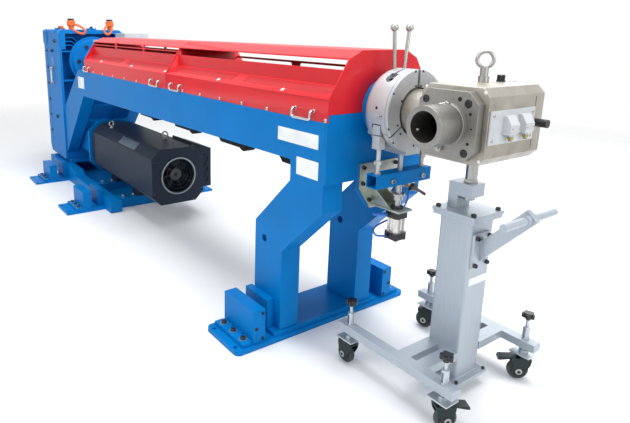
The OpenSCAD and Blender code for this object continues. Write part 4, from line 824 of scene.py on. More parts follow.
# %% Side plates, lips and blowers
LEFT, FRONT, UP, DOWN = (0, -1, 0), (1, 0, 0), (0, 0, 1), (0, 0, -1)
BEAM_PLATE, LIP_WIDTH = 10 * MM, 50 * MM
LEG_TOP_LENGTH, EDGE_RISE = 192 * MM, 27 * MM
beam_low, beam_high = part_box("beam_sides")
leg_x = beam_high[0] - LEG_TOP_LENGTH


def prism(lower, upper, y0, y1):
    """Solid between two lines of (X, Z) points, one above the other, from y0 to y1."""
    loop = np.vstack([lower, upper[::-1]])
    return between([np.column_stack([loop[:, 0], np.full(len(loop), y), loop[:, 1]]) for y in (y0, y1)],
                   len(lower))


def edge_z(x):
    """Height of the beam's lower edge at x: z = z_rear + rise (x - x_rear) / (x_leg - x_rear)."""
    return beam_low[2] + EDGE_RISE * (x - beam_low[0]) / (leg_x - beam_low[0])


def beam_side(side):
    """One side plate down to the leg, and the lip along its lower edge."""
    x = np.array([beam_low[0], leg_x - MM, leg_x, beam_high[0]])
    edge = np.column_stack([x, [beam_low[2], edge_z(leg_x), beam_low[2], beam_low[2]]])
    top = np.column_stack([x, np.full(4, beam_high[2])])
    inside = beam_high[1] - BEAM_PLATE
    return [prism(edge, top, side * inside, side * beam_high[1]),
            prism(edge[:2], edge[:2] + [0, BEAM_PLATE], side * (inside - LIP_WIDTH), side * (inside + MM))]


beam = piece("beam_side_plates", beam_side(-1) + beam_side(1), frame_paint)
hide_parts("beam_sides")

BLOWER_SPANS = [(-2.272, -1.952), (-1.741, -1.421), (-1.210, -0.890), (-0.680, -0.360), (-0.149, 0.171)]
BLOWER_HALF_W, BLOWER_CUT, BLOWER_NECK_R = 110 * MM, 40 * MM, 62 * MM
BLOWER_PAD, BLOWER_RISE, SEAT_GAP = 12 * MM, 80 * MM, 4 * MM
FLANGE_T, FLANGE_INSET = 8 * MM, 30 * MM
FAN_R, FAN_BACK, FAN_DEPTH, FAN_EDGE = 42 * MM, 65 * MM, 50 * MM, 6 * MM
blower_low, blower_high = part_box("cooling_blowers")
blower_foot = blower_low[2] + BLOWER_PAD
blower_top = beam_low[2] + BLOWER_RISE
seat = beam_high[1] - BEAM_PLATE - SEAT_GAP


def blower(start, end):
    """One blower: a trough with cut corners, its flange on the beam's lips, its neck and its fan end."""
    across = np.array([start, start + BLOWER_CUT, end - BLOWER_CUT, end])
    shoulder = blower_foot + BLOWER_CUT
    trough = prism(np.column_stack([across, [shoulder, blower_foot, blower_foot, shoulder]]),
                   np.column_stack([across, np.full(4, blower_top)]), -BLOWER_HALF_W, BLOWER_HALF_W)
    rest = np.array([(x, edge_z(x) + BEAM_PLATE) for x in (start + FLANGE_INSET, end - FLANGE_INSET)])
    flange = prism(rest, rest + [0, FLANGE_T], -seat, seat)
    neck_h = blower_high[2] - blower_top
    neck = lathe([(0, 0), (BLOWER_NECK_R, 0), (BLOWER_NECK_R, neck_h), (0, neck_h)], 32)
    fan_h = FAN_DEPTH + FAN_EDGE
    fan = lathe([(0, 0), (FAN_R, 0), (FAN_R, FAN_DEPTH), (FAN_R - FAN_EDGE, fan_h), (0, fan_h)], 32)
    return [trough, flange, move(neck, ((start + end) / 2, 0, blower_top)),
            move(fan, (end - FAN_BACK, -BLOWER_HALF_W + FAN_DEPTH, blower_low[2] + FAN_R), LEFT)]


blowers = [shape for span in BLOWER_SPANS for shape in blower(*span)]
fans = piece("blowers", blowers, blower_paint)
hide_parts("cooling_blowers")
print("beam plates: 2, blowers:", len(BLOWER_SPANS))

# %% [markdown]
# ## Air hoses
# Two blue hoses run from the hand valve to the two ports of the air cylinder. A hose is stiff enough to keep
# one smooth curve, so a cubic curve is drawn through a few listed points and a round section is carried along
# it. They are the only free cords here.

# %% Hoses as smooth curves
HOSE_R = 4 * MM
HOSE_ROUTES = {
    "air_hose_upper": [(358, 155.6, 690), (358, 144, 689), (365, 124, 668), (380, 96, 632), (388, 66, 608),
                       (391, 36, 596), (392, 2, 592), (392, -30, 594), (395, -54, 600), (406, -68, 608),
                       (422, -69, 612.5), (436, -60, 612.5), (444, -48.9, 612.5), (444, -39.9, 612.5)],
    "air_hose_lower": [(358, 180, 661.6), (359, 179, 650), (364, 170, 626), (373, 148, 602), (382, 114, 582),
                       (388, 74, 570), (391, 36, 563), (392, 0, 558), (393, -32, 552), (398, -55, 545),
                       (409, -68, 538), (424, -69, 529.5), (437, -60, 529.5), (444, -48.9, 529.5),
                       (444, -39.9, 529.5)]}


def smooth(points, steps=6):
    """Cubic pieces through the points; the slope at a point is half the way between its two neighbours."""
    points = np.asarray(points, float)
    row = np.vstack([2 * points[0] - points[1], points, 2 * points[-1] - points[-2]])
    p0, p1, p2, p3 = (row[k:len(row) - 3 + k, None] for k in range(4))
    t = np.linspace(0, 1, steps, endpoint=False)[None, :, None]
    bent = (2 * p0 - 5 * p1 + 4 * p2 - p3) * t ** 2 + (3 * p1 - p0 - 3 * p2 + p3) * t ** 3
    return np.vstack([(p1 + 0.5 * ((p2 - p0) * t + bent)).reshape(-1, 3), points[-1:]])


for hose_name, route in HOSE_ROUTES.items():
    line = smooth(np.array(route) * MM)
    hose = piece(hose_name, [sweep(line, HOSE_R, 14, (1.0, 0.2, 0.1))], hose_plastic)
    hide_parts("air_hoses")

# %% [markdown]
# ## Bare plates
# Flat plates are fixed to the beam, to the top of the near leg, to the rear strut, to the motor's upper bevel
# and to the column. They stay blank. A thin block with rounded edges lies on each face, a hair proud of it.

# %% Plates
BEVEL_LEFT = (0, -1, 1)
PLATE_T, PLATE_EDGE = 1.6 * MM, 0.8 * MM
FRAME_PLATES = [(0.182, 0.8805, 0.240, 0.053), (0.245, 0.774, 0.124, 0.068), (-2.489, 0.862, 0.147, 0.088)]
MOTOR_PLATE_PLACE, COLUMN_PLATE_Y, COLUMN_PLATE_Z = (-1.820, -0.157, 0.493), 0.1145, 0.430
COLUMN_RELIEF = 25 * MM


def plate(middle, width, height, direction):
    """A blank plate: width runs level, height runs up the face, and its back lies on the face."""
    return move(block((width / 2, height / 2, PLATE_T), PLATE_EDGE), middle, direction)


frame_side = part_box("beam_sides")[0][1]
column_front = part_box("trolley_column")[1][0] - COLUMN_RELIEF
white_plates = [plate((x, frame_side, z), width, height, LEFT) for x, z, width, height in FRAME_PLATES]
piece("blank_plates", white_plates, plate_white)
motor_plate = plate(MOTOR_PLATE_PLACE, 0.300, 0.060, BEVEL_LEFT)
piece("motor_plate", [motor_plate], moulded("motor_plate_grey", rgb("4d5c6b"), rough=0.4))
column_plate = plate((column_front, COLUMN_PLATE_Y, COLUMN_PLATE_Z), 0.101, 0.028, FRONT)
piece("column_plate", [column_plate], plate_white)
print("plates:", len(white_plates) + 2)

# %% [markdown]
# ## Gearbox fittings
# Black bolts hold the round output flange. On the near side there are an oil sight glass between two bright
# ends, drain and vent plugs, a blank square plate, and the row of bolts along the joint of the two halves of
# the housing. The seam itself is a thin dark line of sealing compound.

# %% Bolts, plugs and sight glass
gear_low, gear_high = (np.array(v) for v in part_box("gearbox_housing"))
GEAR_RELIEF, FLANGE_RIM, FLANGE_BOLT_R = 6 * MM, 34 * MM, 138 * MM
gear_side = gear_low[1] + GEAR_RELIEF
flange_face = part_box("gearbox_flange")[1][0] - FLANGE_RIM
turn = np.arange(6) * np.pi / 3
flange_bolts = np.column_stack([0 * turn + flange_face, FLANGE_BOLT_R * np.cos(turn),
                                SCREW_AXIS_Z + FLANGE_BOLT_R * np.sin(turn)])


def capped_bolt(radius, height, sides=24):
    """A drum with a chamfer and a six-sided dimple, deep enough to stand over a plain boss."""
    six = hexagon(0.5 * radius, sides)
    return lathe([(radius, 0), (radius, 0.85 * height), (0.88 * radius, height), (six, height),
                  (0.96 * six, 0.985 * height), (0 * six, 0.985 * height)], sides)


SEAM_X, SEAM_HALF, SEAM_INSET = -3.405, 2.5 * MM, 62 * MM
SEAM_BOLT_BACK, SEAM_BOLT_TOP, SEAM_BOLT_PITCH, SEAM_BOLT_COUNT = 14 * MM, 1.219, 0.1445, 7
seam_bolt_z = SEAM_BOLT_TOP - SEAM_BOLT_PITCH * np.arange(SEAM_BOLT_COUNT)
seam_bolts = [(SEAM_X - SEAM_BOLT_BACK, gear_side, z) for z in seam_bolt_z]
plug_places = [(-3.139, gear_side, 1.165), (-3.235, gear_side, 1.081), (-3.187, gear_side, 0.508)]
pad_nuts = [(-3.176, -0.219, gear_high[2]), (-3.096, 0.030, gear_high[2])]
piece("gearbox_bolts", [stamp(capped_bolt(14.5 * MM, 15 * MM), flange_bolts, FRONT),
                        stamp(hex_bolt(8 * MM, 9 * MM), seam_bolts, LEFT),
                        stamp(socket_screw(15 * MM, 14 * MM), plug_places, LEFT),
                        stamp(hex_bolt(12 * MM, 16 * MM), pad_nuts, UP)], black_oxide)
seam_mid = (gear_low[2] + gear_high[2]) / 2
seam_half_z = (gear_high[2] - gear_low[2]) / 2 - SEAM_INSET
seam = move(block((SEAM_HALF, seam_half_z, 0.8 * MM), 0.4 * MM), (SEAM_X, gear_side, seam_mid), LEFT)
piece("gearbox_seam", [seam], moulded("seam_compound", rgb("0b3d6b"), rough=0.7))
piece("gearbox_plate", [plate((-3.237, gear_side, 0.990), 0.075, 0.075, LEFT)],
      enamel("gearbox_plate_blue", rgb("2f80c2"), rough=0.3))
SIGHT_X, SIGHT_LOW, SIGHT_HIGH, SIGHT_REACH, SIGHT_R = -3.255, 0.806, 0.928, 16 * MM, 8 * MM
sight_out = gear_side - SIGHT_REACH
sight_ends = [(SIGHT_X, gear_side, SIGHT_LOW), (SIGHT_X, gear_side, SIGHT_HIGH)]
sight_line = np.linspace((SIGHT_X, sight_out, SIGHT_LOW), (SIGHT_X, sight_out, SIGHT_HIGH), 8)
piece("sight_glass_ends", [stamp(hex_bolt(13 * MM, 24 * MM), sight_ends, LEFT)], bright_steel)
piece("sight_glass_tube", [sweep(sight_line, SIGHT_R)], moulded("sight_glass", rgb("cfd3cc"), rough=0.15))
VENT_X, VENT_Y, VENT_SUNK = -3.110, -0.222, 12 * MM
vent = turned([(0, 0), (13, 0), (13, 14), (17, 16), (17, 26), (14, 30), (0, 30)])
piece("gearbox_vent", [move(vent, (VENT_X, VENT_Y, gear_high[2] - VENT_SUNK))], lifting_paint)
print("gearbox bolts:", len(flange_bolts) + len(seam_bolts) + len(plug_places) + len(pad_nuts))

# %% [markdown]
# ## Swivel eyes
# Two orange lifting eyes stand on the gearbox, and their rings droop to one side under a black bolt head. A
# ring is a bar swept along a closed curve in a tilted plane, so each eye needs only the two directions and
# the two sizes of its ring.

# %% Swivel eyes on top of the gearbox
EYE_WIRE, EYE_BODY_R, EYE_NECK_R, EYE_CAP_R, EYE_CAP_H = 9 * MM, 34 * MM, 22 * MM, 28 * MM, 16 * MM
eyes_low, eyes_high = (np.array(v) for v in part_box("gearbox_lifting_eyes"))
EYES = [((-3.036, -0.160), (0.40, 0.79, -0.46), (0.13, 0.46, 0.88), 120 * MM, 54 * MM),
        ((-3.036, 0.176), (0.43, -0.60, -0.67), (0.18, 0.64, -0.46), 96 * MM, 72 * MM)]
PIN_AHEAD, PIN_BELOW = 18 * MM, 42 * MM


def eye_ring(middle, along, across, length, width):
    """A drooping ring: middle + length (1 - cos t) / 2 along + width / 2 sign(sin t) |sin t|^0.75 across."""
    angle = np.linspace(0, 2 * np.pi, 49)
    reach = length / 2 * (1 - np.cos(angle))
    spread = width / 2 * np.sign(np.sin(angle)) * np.abs(np.sin(angle)) ** 0.75
    return sweep(middle + np.outer(reach, along) + np.outer(spread, across), EYE_WIRE, 14)


cap_z = eyes_high[2] - EYE_CAP_H
stem = cap_z - eyes_low[2]
eye_body = lathe([(0, 0), (EYE_NECK_R, 0), (EYE_NECK_R, 0.32 * stem), (EYE_BODY_R - 4 * MM, 0.40 * stem),
                  (EYE_BODY_R, 0.46 * stem), (EYE_BODY_R, 0.92 * stem), (EYE_BODY_R - 5 * MM, stem),
                  (0, stem)], 32)
eye_cap = lathe([(0, 0), (EYE_CAP_R, 0), (EYE_CAP_R, EYE_CAP_H - 2 * MM), (EYE_CAP_R - 2 * MM, EYE_CAP_H),
                 (0, EYE_CAP_H)], 6)
eye_feet = [(*place, eyes_low[2]) for place, *_ in EYES]
rings = [eye_ring(np.array([*place, cap_z - PIN_BELOW]) + [PIN_AHEAD, 0, 0], *shape)
         for place, *shape in EYES]
swivels = piece("swivel_eyes", [stamp(eye_body, eye_feet)] + rings, lifting_paint)
swivel_caps = piece("swivel_caps", [stamp(eye_cap, [(*place, cap_z) for place, *_ in EYES])], black_oxide)
for made in (swivels, swivel_caps):
    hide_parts("gearbox_lifting_eyes")
print("swivel eyes:", len(EYES))

# %% [markdown]
# ## Motor fittings
# Small screws hold the end sheet round the fan, and larger ones hold the motor's feet to the cross members.
# The fan turns behind a guard of thin rings on three spokes, which are bars bent to circles.

# %% Motor screws and fan guard
motor_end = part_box("motor_body")[1][0]
ring_low, ring_high = (np.array(v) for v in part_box("motor_air_ring"))
fan_middle = (ring_low + ring_high) / 2
fan_r = (ring_high[1] - ring_low[1]) / 2
half_motor = -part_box("motor_body")[0][1]
END_SCREW_SHARE = 0.92
END_SCREWS = np.array([(-1, -0.62), (-1, 0.62), (1, -0.62), (1, 0.62),
                       (-0.62, -1), (0.62, -1), (-0.62, 1), (0.62, 1)])
end_places = [(motor_end, END_SCREW_SHARE * half_motor * a, fan_middle[2] + END_SCREW_SHARE * half_motor * b)
              for a, b in END_SCREWS]
piece("motor_end_screws", [stamp(dome_screw(6 * MM, 3.5 * MM), end_places, FRONT)], black_oxide)


def ring_path(middle, radius, steps=48):
    """Points of a closed circle square to X."""
    angle = np.linspace(0, 2 * np.pi, steps + 1)
    return np.column_stack([0 * angle, radius * np.cos(angle), radius * np.sin(angle)]) + middle


GUARD_BACK, GUARD_WIRE, SPOKE_WIRE = 3 * MM, 1.1 * MM, 1.5 * MM
GUARD_RINGS, SPOKE_FROM, SPOKE_TO = (0.30, 0.50, 0.70, 0.88), 0.28, 0.97
guard_middle = np.array([ring_high[0] - GUARD_BACK, fan_middle[1], fan_middle[2]])
guard = [sweep(ring_path(guard_middle, share * fan_r), GUARD_WIRE, 6, (1, 0, 0)) for share in GUARD_RINGS]
for angle in np.radians([90, 210, 330]):
    spoke = np.array([0, math.cos(angle), math.sin(angle)])
    spoke_line = np.linspace(guard_middle + SPOKE_FROM * fan_r * spoke,
                             guard_middle + SPOKE_TO * fan_r * spoke, 4)
    guard.append(sweep(spoke_line, SPOKE_WIRE, 6))
piece("fan_guard", guard, black_oxide)
FOOT_BOLT_X, FOOT_BOLT_Y = (-1.948, -2.398), (0.088, 0.165)
cross_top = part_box("rear_cross_members")[1][2]
foot_bolts = [(x, s * y, cross_top) for x in FOOT_BOLT_X for s in SIDES for y in FOOT_BOLT_Y]
piece("motor_foot_bolts", [stamp(hex_bolt(11 * MM, 12 * MM), foot_bolts)], bright_steel)
print("motor screws:", len(end_places) + len(foot_bolts))

# %% [markdown]
# ## The clamp ring
# Thin face plates are screwed to both jaws and to the fixed base of the ring, a deep pocket in each jaw holds
# the screw of the lever, and the near jaw has a drilled hole, drawn as a dark disc of painted shade, and a
# grease nipple. What is on a jaw rides on that jaw.

# %% Screws of the jaws and the base
ring_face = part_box("clamp_jaw_near")[1][0]
JAW_SCREWS = np.array([(-20, 1140), (-13, 1089), (-123, 1069), (-80, 1042), (-92, 959), (-136, 949)]) * MM
BASE_SCREWS = np.array([(-74, 928), (-108, 900), (0, 879)]) * MM
face_screw = socket_screw(4.2 * MM, 1.0 * MM, 12)


def on_face(spots, x):
    """Points with a fixed X from rows of (Y, Z)."""
    spots = np.asarray(spots, float)
    return np.column_stack([np.full(len(spots), x), spots])


base_spots = np.vstack([BASE_SCREWS, BASE_SCREWS[:2] * [-1, 1]])
for name, spots, body in (("jaw_near_screws", JAW_SCREWS, "jaw_near"),
                          ("jaw_far_screws", JAW_SCREWS * [-1, 1], "jaw_far"),
                          ("clamp_base_screws", base_spots, "stand")):
    piece(name, [stamp(face_screw, on_face(spots, ring_face), FRONT)], black_oxide, body)

RING_R, POCKET_DEPTH, POCKET_X, POCKET_ANGLE = 147 * MM, 16 * MM, 458 * MM, math.radians(52)
HOLE_X, HOLE_ANGLE, HOLE_LIFT = 455 * MM, math.radians(6.8), 0.2 * MM
NIPPLE_X, NIPPLE_ANGLE, NIPPLE_SUNK = 475 * MM, math.radians(-3.7), 0.6 * MM


def on_ring(x, angle, side, radius):
    """A point of the ring and the direction straight out of it, at an angle above the level line."""
    out = np.array([0, side * math.cos(angle), math.sin(angle)])
    return np.array([x, 0, SCREW_AXIS_Z]) + radius * out, out


for side, body in ((-1, "jaw_near"), (1, "jaw_far")):
    place, out = on_ring(POCKET_X, POCKET_ANGLE, side, RING_R - POCKET_DEPTH)
    piece(body + "_lever_screw", [move(socket_screw(10 * MM, 11 * MM), place, out)], black_oxide, body)

hole_place, hole_out = on_ring(HOLE_X, HOLE_ANGLE, -1, RING_R + HOLE_LIFT)
# The drilled hole is a dark disc of painted shade.
piece("jaw_near_hole_shade", [move(disc(5.5 * MM, 20), hole_place, hole_out)], painted_shade_and_seam, "jaw_near")
nipple = turned([(0, 0), (8, 0), (8, 4), (5, 5), (5, 10), (6.5, 12), (4, 15), (2, 15), (1.5, 12), (0, 12)])
nipple_place, nipple_out = on_ring(NIPPLE_X, NIPPLE_ANGLE, -1, RING_R - NIPPLE_SUNK)
piece("jaw_near_nipple", [move(nipple, nipple_place, nipple_out)], bright_steel, "jaw_near")
print("ring screws:", 2 * len(JAW_SCREWS) + len(base_spots) + 2)

# %% [markdown]
# ## The cross-head
# Four large cap screws in counterbores hold the inlet flange, beside a few drilled holes and two pipe
# fittings. The drilled holes, the gaps round the screws in their counterbores and the slots at the inlet
# tube's rim are dark discs and patches of painted shade. The tube has a locating pin in its bore. The
# connector plate, the plugs' cable glands, the lifting point's nut and a black bolt on top complete the
# block.

# %% Inlet flange and tube
INLET_LENGTH, CABLE_X = 104 * MM, 725 * MM
tube_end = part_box("inlet_tube")[0][1]
inlet_face = tube_end + INLET_LENGTH
corner_screws = [(648 * MM, 1070 * MM), (797 * MM, 1070 * MM), (797 * MM, 922 * MM), (648 * MM, 922 * MM)]
drilled = [(767, 1080, 7), (806, 1040, 5), (813, 997, 3), (806, 952, 5)]


def on_inlet(x, z, lift=0.0):
    """A point of the inlet flange's face, or lift in front of it."""
    return (x, inlet_face - lift, z)


counterbore = turned([(12.6, 0.1), (15, 0.1), (15, 0.6), (12.6, 0.9)], 28)
corner_places = [on_inlet(x, z) for x, z in corner_screws]
piece("inlet_screws", [stamp(socket_screw(10.8 * MM, 2.6 * MM, 30), corner_places, LEFT)], black_oxide)
piece("inlet_counterbores", [stamp(counterbore, corner_places, LEFT)], inlet_steel)
# Dark discs of painted shade: one behind each cap screw fills the gap in its counterbore, and one lies on
# each drilled hole.
shadow = [move(disc(12.7 * MM, 28), on_inlet(x, z, 0.15 * MM), LEFT) for x, z in corner_screws]
holes = [move(disc(r * MM, 24), on_inlet(x * MM, z * MM, 0.2 * MM), LEFT) for x, z, r in drilled]
piece("inlet_hole_shade", holes + shadow, painted_shade_and_seam)
UPPER_FITTING, LOWER_FITTING = (728 * MM, 1060 * MM), (713 * MM, 927 * MM)
ELBOW_LIFT, ELBOW_WAY = 14 * MM, (-0.86, -0.45, -0.2)
fitting = turned([(0, 0), (hexagon(11), 0), (hexagon(11), 11), (8, 12), (8, 20), (6, 22), (0, 22)])
elbow = turned([(0, 0), (8, 0), (8, 16), (6.5, 17), (4.5, 17), (4, 9), (0, 9)])
piece("inlet_fittings", [move(fitting, on_inlet(*UPPER_FITTING), LEFT),
                         move(elbow, on_inlet(*UPPER_FITTING, ELBOW_LIFT), ELBOW_WAY),
                         move(fitting, on_inlet(*LOWER_FITTING), LEFT)], bright_steel)
TUBE_R, TUBE_BORE = 61 * MM, 47 * MM
SLOT_BACK, SLOT_SUNK, PIN_BACK, PIN_ANGLE = 11 * MM, 0.6 * MM, 34 * MM, math.radians(201)


def on_tube(angle, y, radius):
    """A point of the tube at an angle from +X towards +Z, and the direction straight out of it."""
    out = np.array([math.cos(angle), 0, math.sin(angle)])
    return np.array([CABLE_X, y, SCREW_AXIS_Z]) + radius * out, out


# Each slot is a dark patch of painted shade, a little proud of the tube.
slots = []
for degrees in (42, -42, -138, 138):
    place, out = on_tube(math.radians(degrees), tube_end + SLOT_BACK, TUBE_R - SLOT_SUNK)
    slots.append(move(block((3.2 * MM, 7 * MM, 1 * MM), 0.9 * MM), place, out))
piece("inlet_tube_slot_shade", slots, painted_shade_and_seam)
pin_place, pin_out = on_tube(PIN_ANGLE, tube_end + PIN_BACK, TUBE_BORE)
piece("inlet_pin", [move(dome_screw(7 * MM, 6 * MM), pin_place, -pin_out)], bright_steel)
print("inlet pieces:", len(corner_screws) + len(drilled) + len(slots))

# %% Connector plate, plugs and the top of the block
head_low, head_high = (np.array(v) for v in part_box("crosshead_body"))
HEAD_RELIEF, CONNECTOR_T = 5 * MM, 4 * MM
head_front, block_face = head_high[0], head_low[1] + HEAD_RELIEF
plate_face = head_front + CONNECTOR_T
plate_screws = [(plate_face, y * MM, z * MM) for y, z in ((-84, 1037), (122, 1038), (-84, 963), (122, 963))]
PLUG_Y, PLUG_X, PLUG_FOOT_Z = (-9 * MM, 71 * MM), head_front + 17 * MM, 0.972
PLUG_FACE, PLUG_SCREW_HALF, PLUG_SCREW_Z = 30 * MM, 15 * MM, 0.997
plug_screws = [(head_front + PLUG_FACE, y + s * PLUG_SCREW_HALF, PLUG_SCREW_Z) for y in PLUG_Y for s in SIDES]
piece("connector_screws", [stamp(dome_screw(6 * MM, 3 * MM), plate_screws, FRONT),
                           stamp(dome_screw(3.2 * MM, 2 * MM), plug_screws, FRONT)], bright_steel)
gland = turned([(0, 0), (hexagon(8.5), 0), (hexagon(8.5), 7), (6, 8), (6, 14), (4, 14), (4, 9), (0, 9)])
piece("plug_glands", [stamp(gland, [(PLUG_X, y, PLUG_FOOT_Z) for y in PLUG_Y], DOWN)], brass_metal)
blind_plugs = [(x * MM, block_face, z * MM) for x, z in ((828, 1103), (829, 900), (623, 1104))]
piece("head_blind_plugs", [stamp(dome_screw(5 * MM, 3 * MM), blind_plugs, LEFT)], plate_white)
HEAD_REAR_X, HEAD_SEAM_Y, HEAD_SEAM_END = 607 * MM, 140 * MM, 34 * MM
top_half = (head_high[0] - HEAD_REAR_X) / 2 - HEAD_SEAM_END
seam_top = move(block((top_half, 0.9 * MM, 0.5 * MM), 0.3 * MM),
                (HEAD_REAR_X + top_half + HEAD_SEAM_END, HEAD_SEAM_Y, head_high[2]))
side_half = (head_high[2] - head_low[2]) / 2 - HEAD_SEAM_END
seam_front = move(block((0.9 * MM, side_half, 0.5 * MM), 0.3 * MM),
                  (head_front, HEAD_SEAM_Y, SCREW_AXIS_Z), FRONT)
piece("head_seams", [seam_top, seam_front], painted_shade_and_seam)
TOP_BOLT, EYE_NUT = (706 * MM, 165 * MM), (694 * MM, 85 * MM)
KNURL_SIDES, KNURL_TEETH = 48, 24
knurled = 12 + 0.5 * np.cos(KNURL_TEETH * np.linspace(0, 2 * np.pi, KNURL_SIDES, endpoint=False))
top_bolt = turned([(0, 0), (15, 0), (15, 3), (knurled, 3), (knurled, 20), (10, 22), (0, 22)], KNURL_SIDES)
piece("head_top_bolt", [move(top_bolt, (*TOP_BOLT, head_high[2]))], black_oxide)
eye_nut = turned([(0, 0), (17, 0), (17, 3), (hexagon(14), 3), (hexagon(14), 12), (10, 14), (0, 14)])
piece("eyebolt_nut", [move(eye_nut, (*EYE_NUT, head_high[2]))], bright_steel)
print("head pieces:", len(plate_screws) + len(plug_screws) + len(blind_plugs))

# %% [markdown]
# ## Bracket and lift beam
# The zinc-plated bracket is screwed to the front panel with black cap screws and carries the air cylinder.
# The lift beam's two bright cap screws hold the links, so they go up and down with the beam.

# %% Bracket and beam screws
BRACKET_RELIEF = 10 * MM
bracket_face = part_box("clamp_bracket")[0][0] + BRACKET_RELIEF
bracket_spots = np.array([(-86, 778), (86, 778), (-86, 716), (86, 716), (-48, 648), (48, 648)]) * MM
piece("bracket_screws", [stamp(socket_screw(8 * MM, 9 * MM), on_face(bracket_spots, bracket_face), FRONT)],
      black_oxide)
beam_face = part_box("lift_beam")[1][0]
beam_spots = np.array([(-67, 751), (96, 752)]) * MM
piece("lift_beam_screws", [stamp(socket_screw(9 * MM, 9 * MM), on_face(beam_spots, beam_face), FRONT)],
      bright_steel, "clamp_lift")
CYLINDER_X, TIE_ROD_HALF, CYLINDER_FOOT_Z = 454 * MM, 24 * MM, 0.516
tie_rods = [(CYLINDER_X + a * TIE_ROD_HALF, b * TIE_ROD_HALF, CYLINDER_FOOT_Z) for a in SIDES for b in SIDES]
piece("cylinder_nuts", [stamp(hex_bolt(5 * MM, 6 * MM), tie_rods, DOWN)], bright_steel)
print("bracket screws:", len(bracket_spots) + len(beam_spots))

# %% [markdown]
# ## The hand valve
# A small valve beside the bracket sends air to either end of the cylinder. Its pale body is a rounded block,
# its nuts and ports are lathed brass, and its black lever is two bars swept along one bent line. The ports
# stay where the hoses begin.

# %% Hand valve of the cylinder
VALVE_Y, VALVE_X, VALVE_UP = 180 * MM, 358 * MM, 2 * MM
VALVE_HALF = np.array([18, 14, 19]) * MM
PORT_SUNK, UPPER_PORT_Z, LOWER_PORT_Z = 11 * MM, 690 * MM, 675 * MM
FAR_NUT_Z, NEAR_NUT_Z, HUB_Z = 686 * MM, 674 * MM, 672 * MM
valve_low = np.array(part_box("hand_valve")[0])
valve_middle = np.array([valve_low[0] + VALVE_HALF[0], VALVE_Y, valve_low[2] + VALVE_UP + VALVE_HALF[2]])
port = turned([(0, 0), (6, 0), (6, 13), (0, 13)])
nut = turned([(0, 0), (hexagon(9), 0), (hexagon(9), 8), (6, 10), (0, 10)])
ports = [move(port, (VALVE_X, VALVE_Y - PORT_SUNK, UPPER_PORT_Z), LEFT),
         move(port, (VALVE_X, VALVE_Y, LOWER_PORT_Z), DOWN),
         move(nut, (VALVE_X, VALVE_Y + VALVE_HALF[1], FAR_NUT_Z), (0, 1, 0)),
         move(nut, (VALVE_X, VALVE_Y - VALVE_HALF[1], NEAR_NUT_Z), LEFT)]
hub = move(turned([(0, 0), (12, 0), (12, 14), (10, 16), (0, 16)]),
           (valve_middle[0] + VALVE_HALF[0], VALVE_Y, HUB_Z), FRONT)
lever_line = np.array([(382, 154, 667), (382, 172, 664), (383, 196, 657), (386, 218, 645),
                       (390, 240, 631)]) * MM
levers = [sweep(lever_line[:3], 9 * MM), sweep(lever_line[1:], 6.5 * MM)]
valve_pieces = [piece("valve_body", [move(block(VALVE_HALF, 2 * MM), valve_middle)], plate_white),
                piece("valve_ports", ports, brass_metal),
                piece("valve_lever", levers + [hub], black_oxide)]
for made in valve_pieces:
    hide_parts("hand_valve")
print("valve pieces:", len(valve_pieces))

# %% [markdown]
# ## The trolley
# Cap screws hold the column's foot and top plates and the plate of the push handle. Bright axle caps sit on
# both cheeks of each castor fork and swivel with it, and welded joints show a rippled bead.

# %% Trolley screws, axle caps and welds
top_low, top_high = (np.array(v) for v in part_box("column_top_plate"))
foot_low, foot_high = (np.array(v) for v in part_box("trolley_column"))
HANDLE_PLATE_X, FOOT_PLATE_T, TOP_INSET, FOOT_INSET = 745 * MM, 12 * MM, 15 * MM, 9 * MM


def corners(low, high, inset, z):
    """Four points inset from the corners of a box, at height z."""
    xs, ys = (low[0] + inset, high[0] - inset), (low[1] + inset, high[1] - inset)
    return [(x, y, z) for x in xs for y in ys]


foot_top = foot_low[2] + FOOT_PLATE_T
top_bolts = corners(top_low, top_high, TOP_INSET, top_high[2])
column_bolts = corners(foot_low, foot_high, FOOT_INSET, foot_top)
handle_bolts = on_face(np.array([(70, 594), (138, 594), (70, 496), (138, 496)]) * MM, HANDLE_PLATE_X)
piece("trolley_screws", [stamp(socket_screw(8.5 * MM, 10 * MM), top_bolts),
                         stamp(socket_screw(6 * MM, 7 * MM), column_bolts),
                         stamp(socket_screw(8 * MM, 10 * MM), handle_bolts, FRONT)], black_oxide)
FORK_OUT = 22 * MM
axle_cap = turned([(6.2, 0), (12, 0), (12, 2.4), (9, 3.4), (6.2, 3.4)])
for joint in frame["joints"]:
    if joint["child"].startswith("wheel_"):
        axle, wheel_middle = np.array(joint["axis"]), np.array(joint["pos_m"])
        caps = [move(axle_cap, wheel_middle + s * FORK_OUT * axle, s * axle) for s in SIDES]
        piece(joint["parent"] + "_axle_caps", caps, bright_steel, joint["parent"])


def weld(start, end, radius=3.0 * MM, pitch=5 * MM):
    """A bead between two points whose radius ripples once for each pitch."""
    start, end = np.asarray(start, float), np.asarray(end, float)
    count = max(8, int(np.linalg.norm(end - start) / pitch * 4))
    share = np.linspace(0, 1, count)[:, None]
    return sweep(start + share * (end - start), radius * (1 + 0.16 * np.sin(np.pi / 2 * np.arange(count))), 8)


COLUMN_HALF = 64 * MM
middle = (foot_low + foot_high) / 2
square = middle[:2] + COLUMN_HALF * np.array([(-1, -1), (1, -1), (1, 1), (-1, 1), (-1, -1)])
beads = [weld((*a, z), (*b, z)) for z in (foot_top, foot_high[2]) for a, b in zip(square[:-1], square[1:])]
piece("column_welds", beads, trolley_reflection_painted)
print("trolley screws:", len(top_bolts) + len(column_bolts) + len(handle_bolts))

# %% [markdown]
# ## Floor anchors
# Heavy blocks beside the feet hold the stand down. Each bar has black cap screws on bright washers, and more
# screws sit in the end of each block.

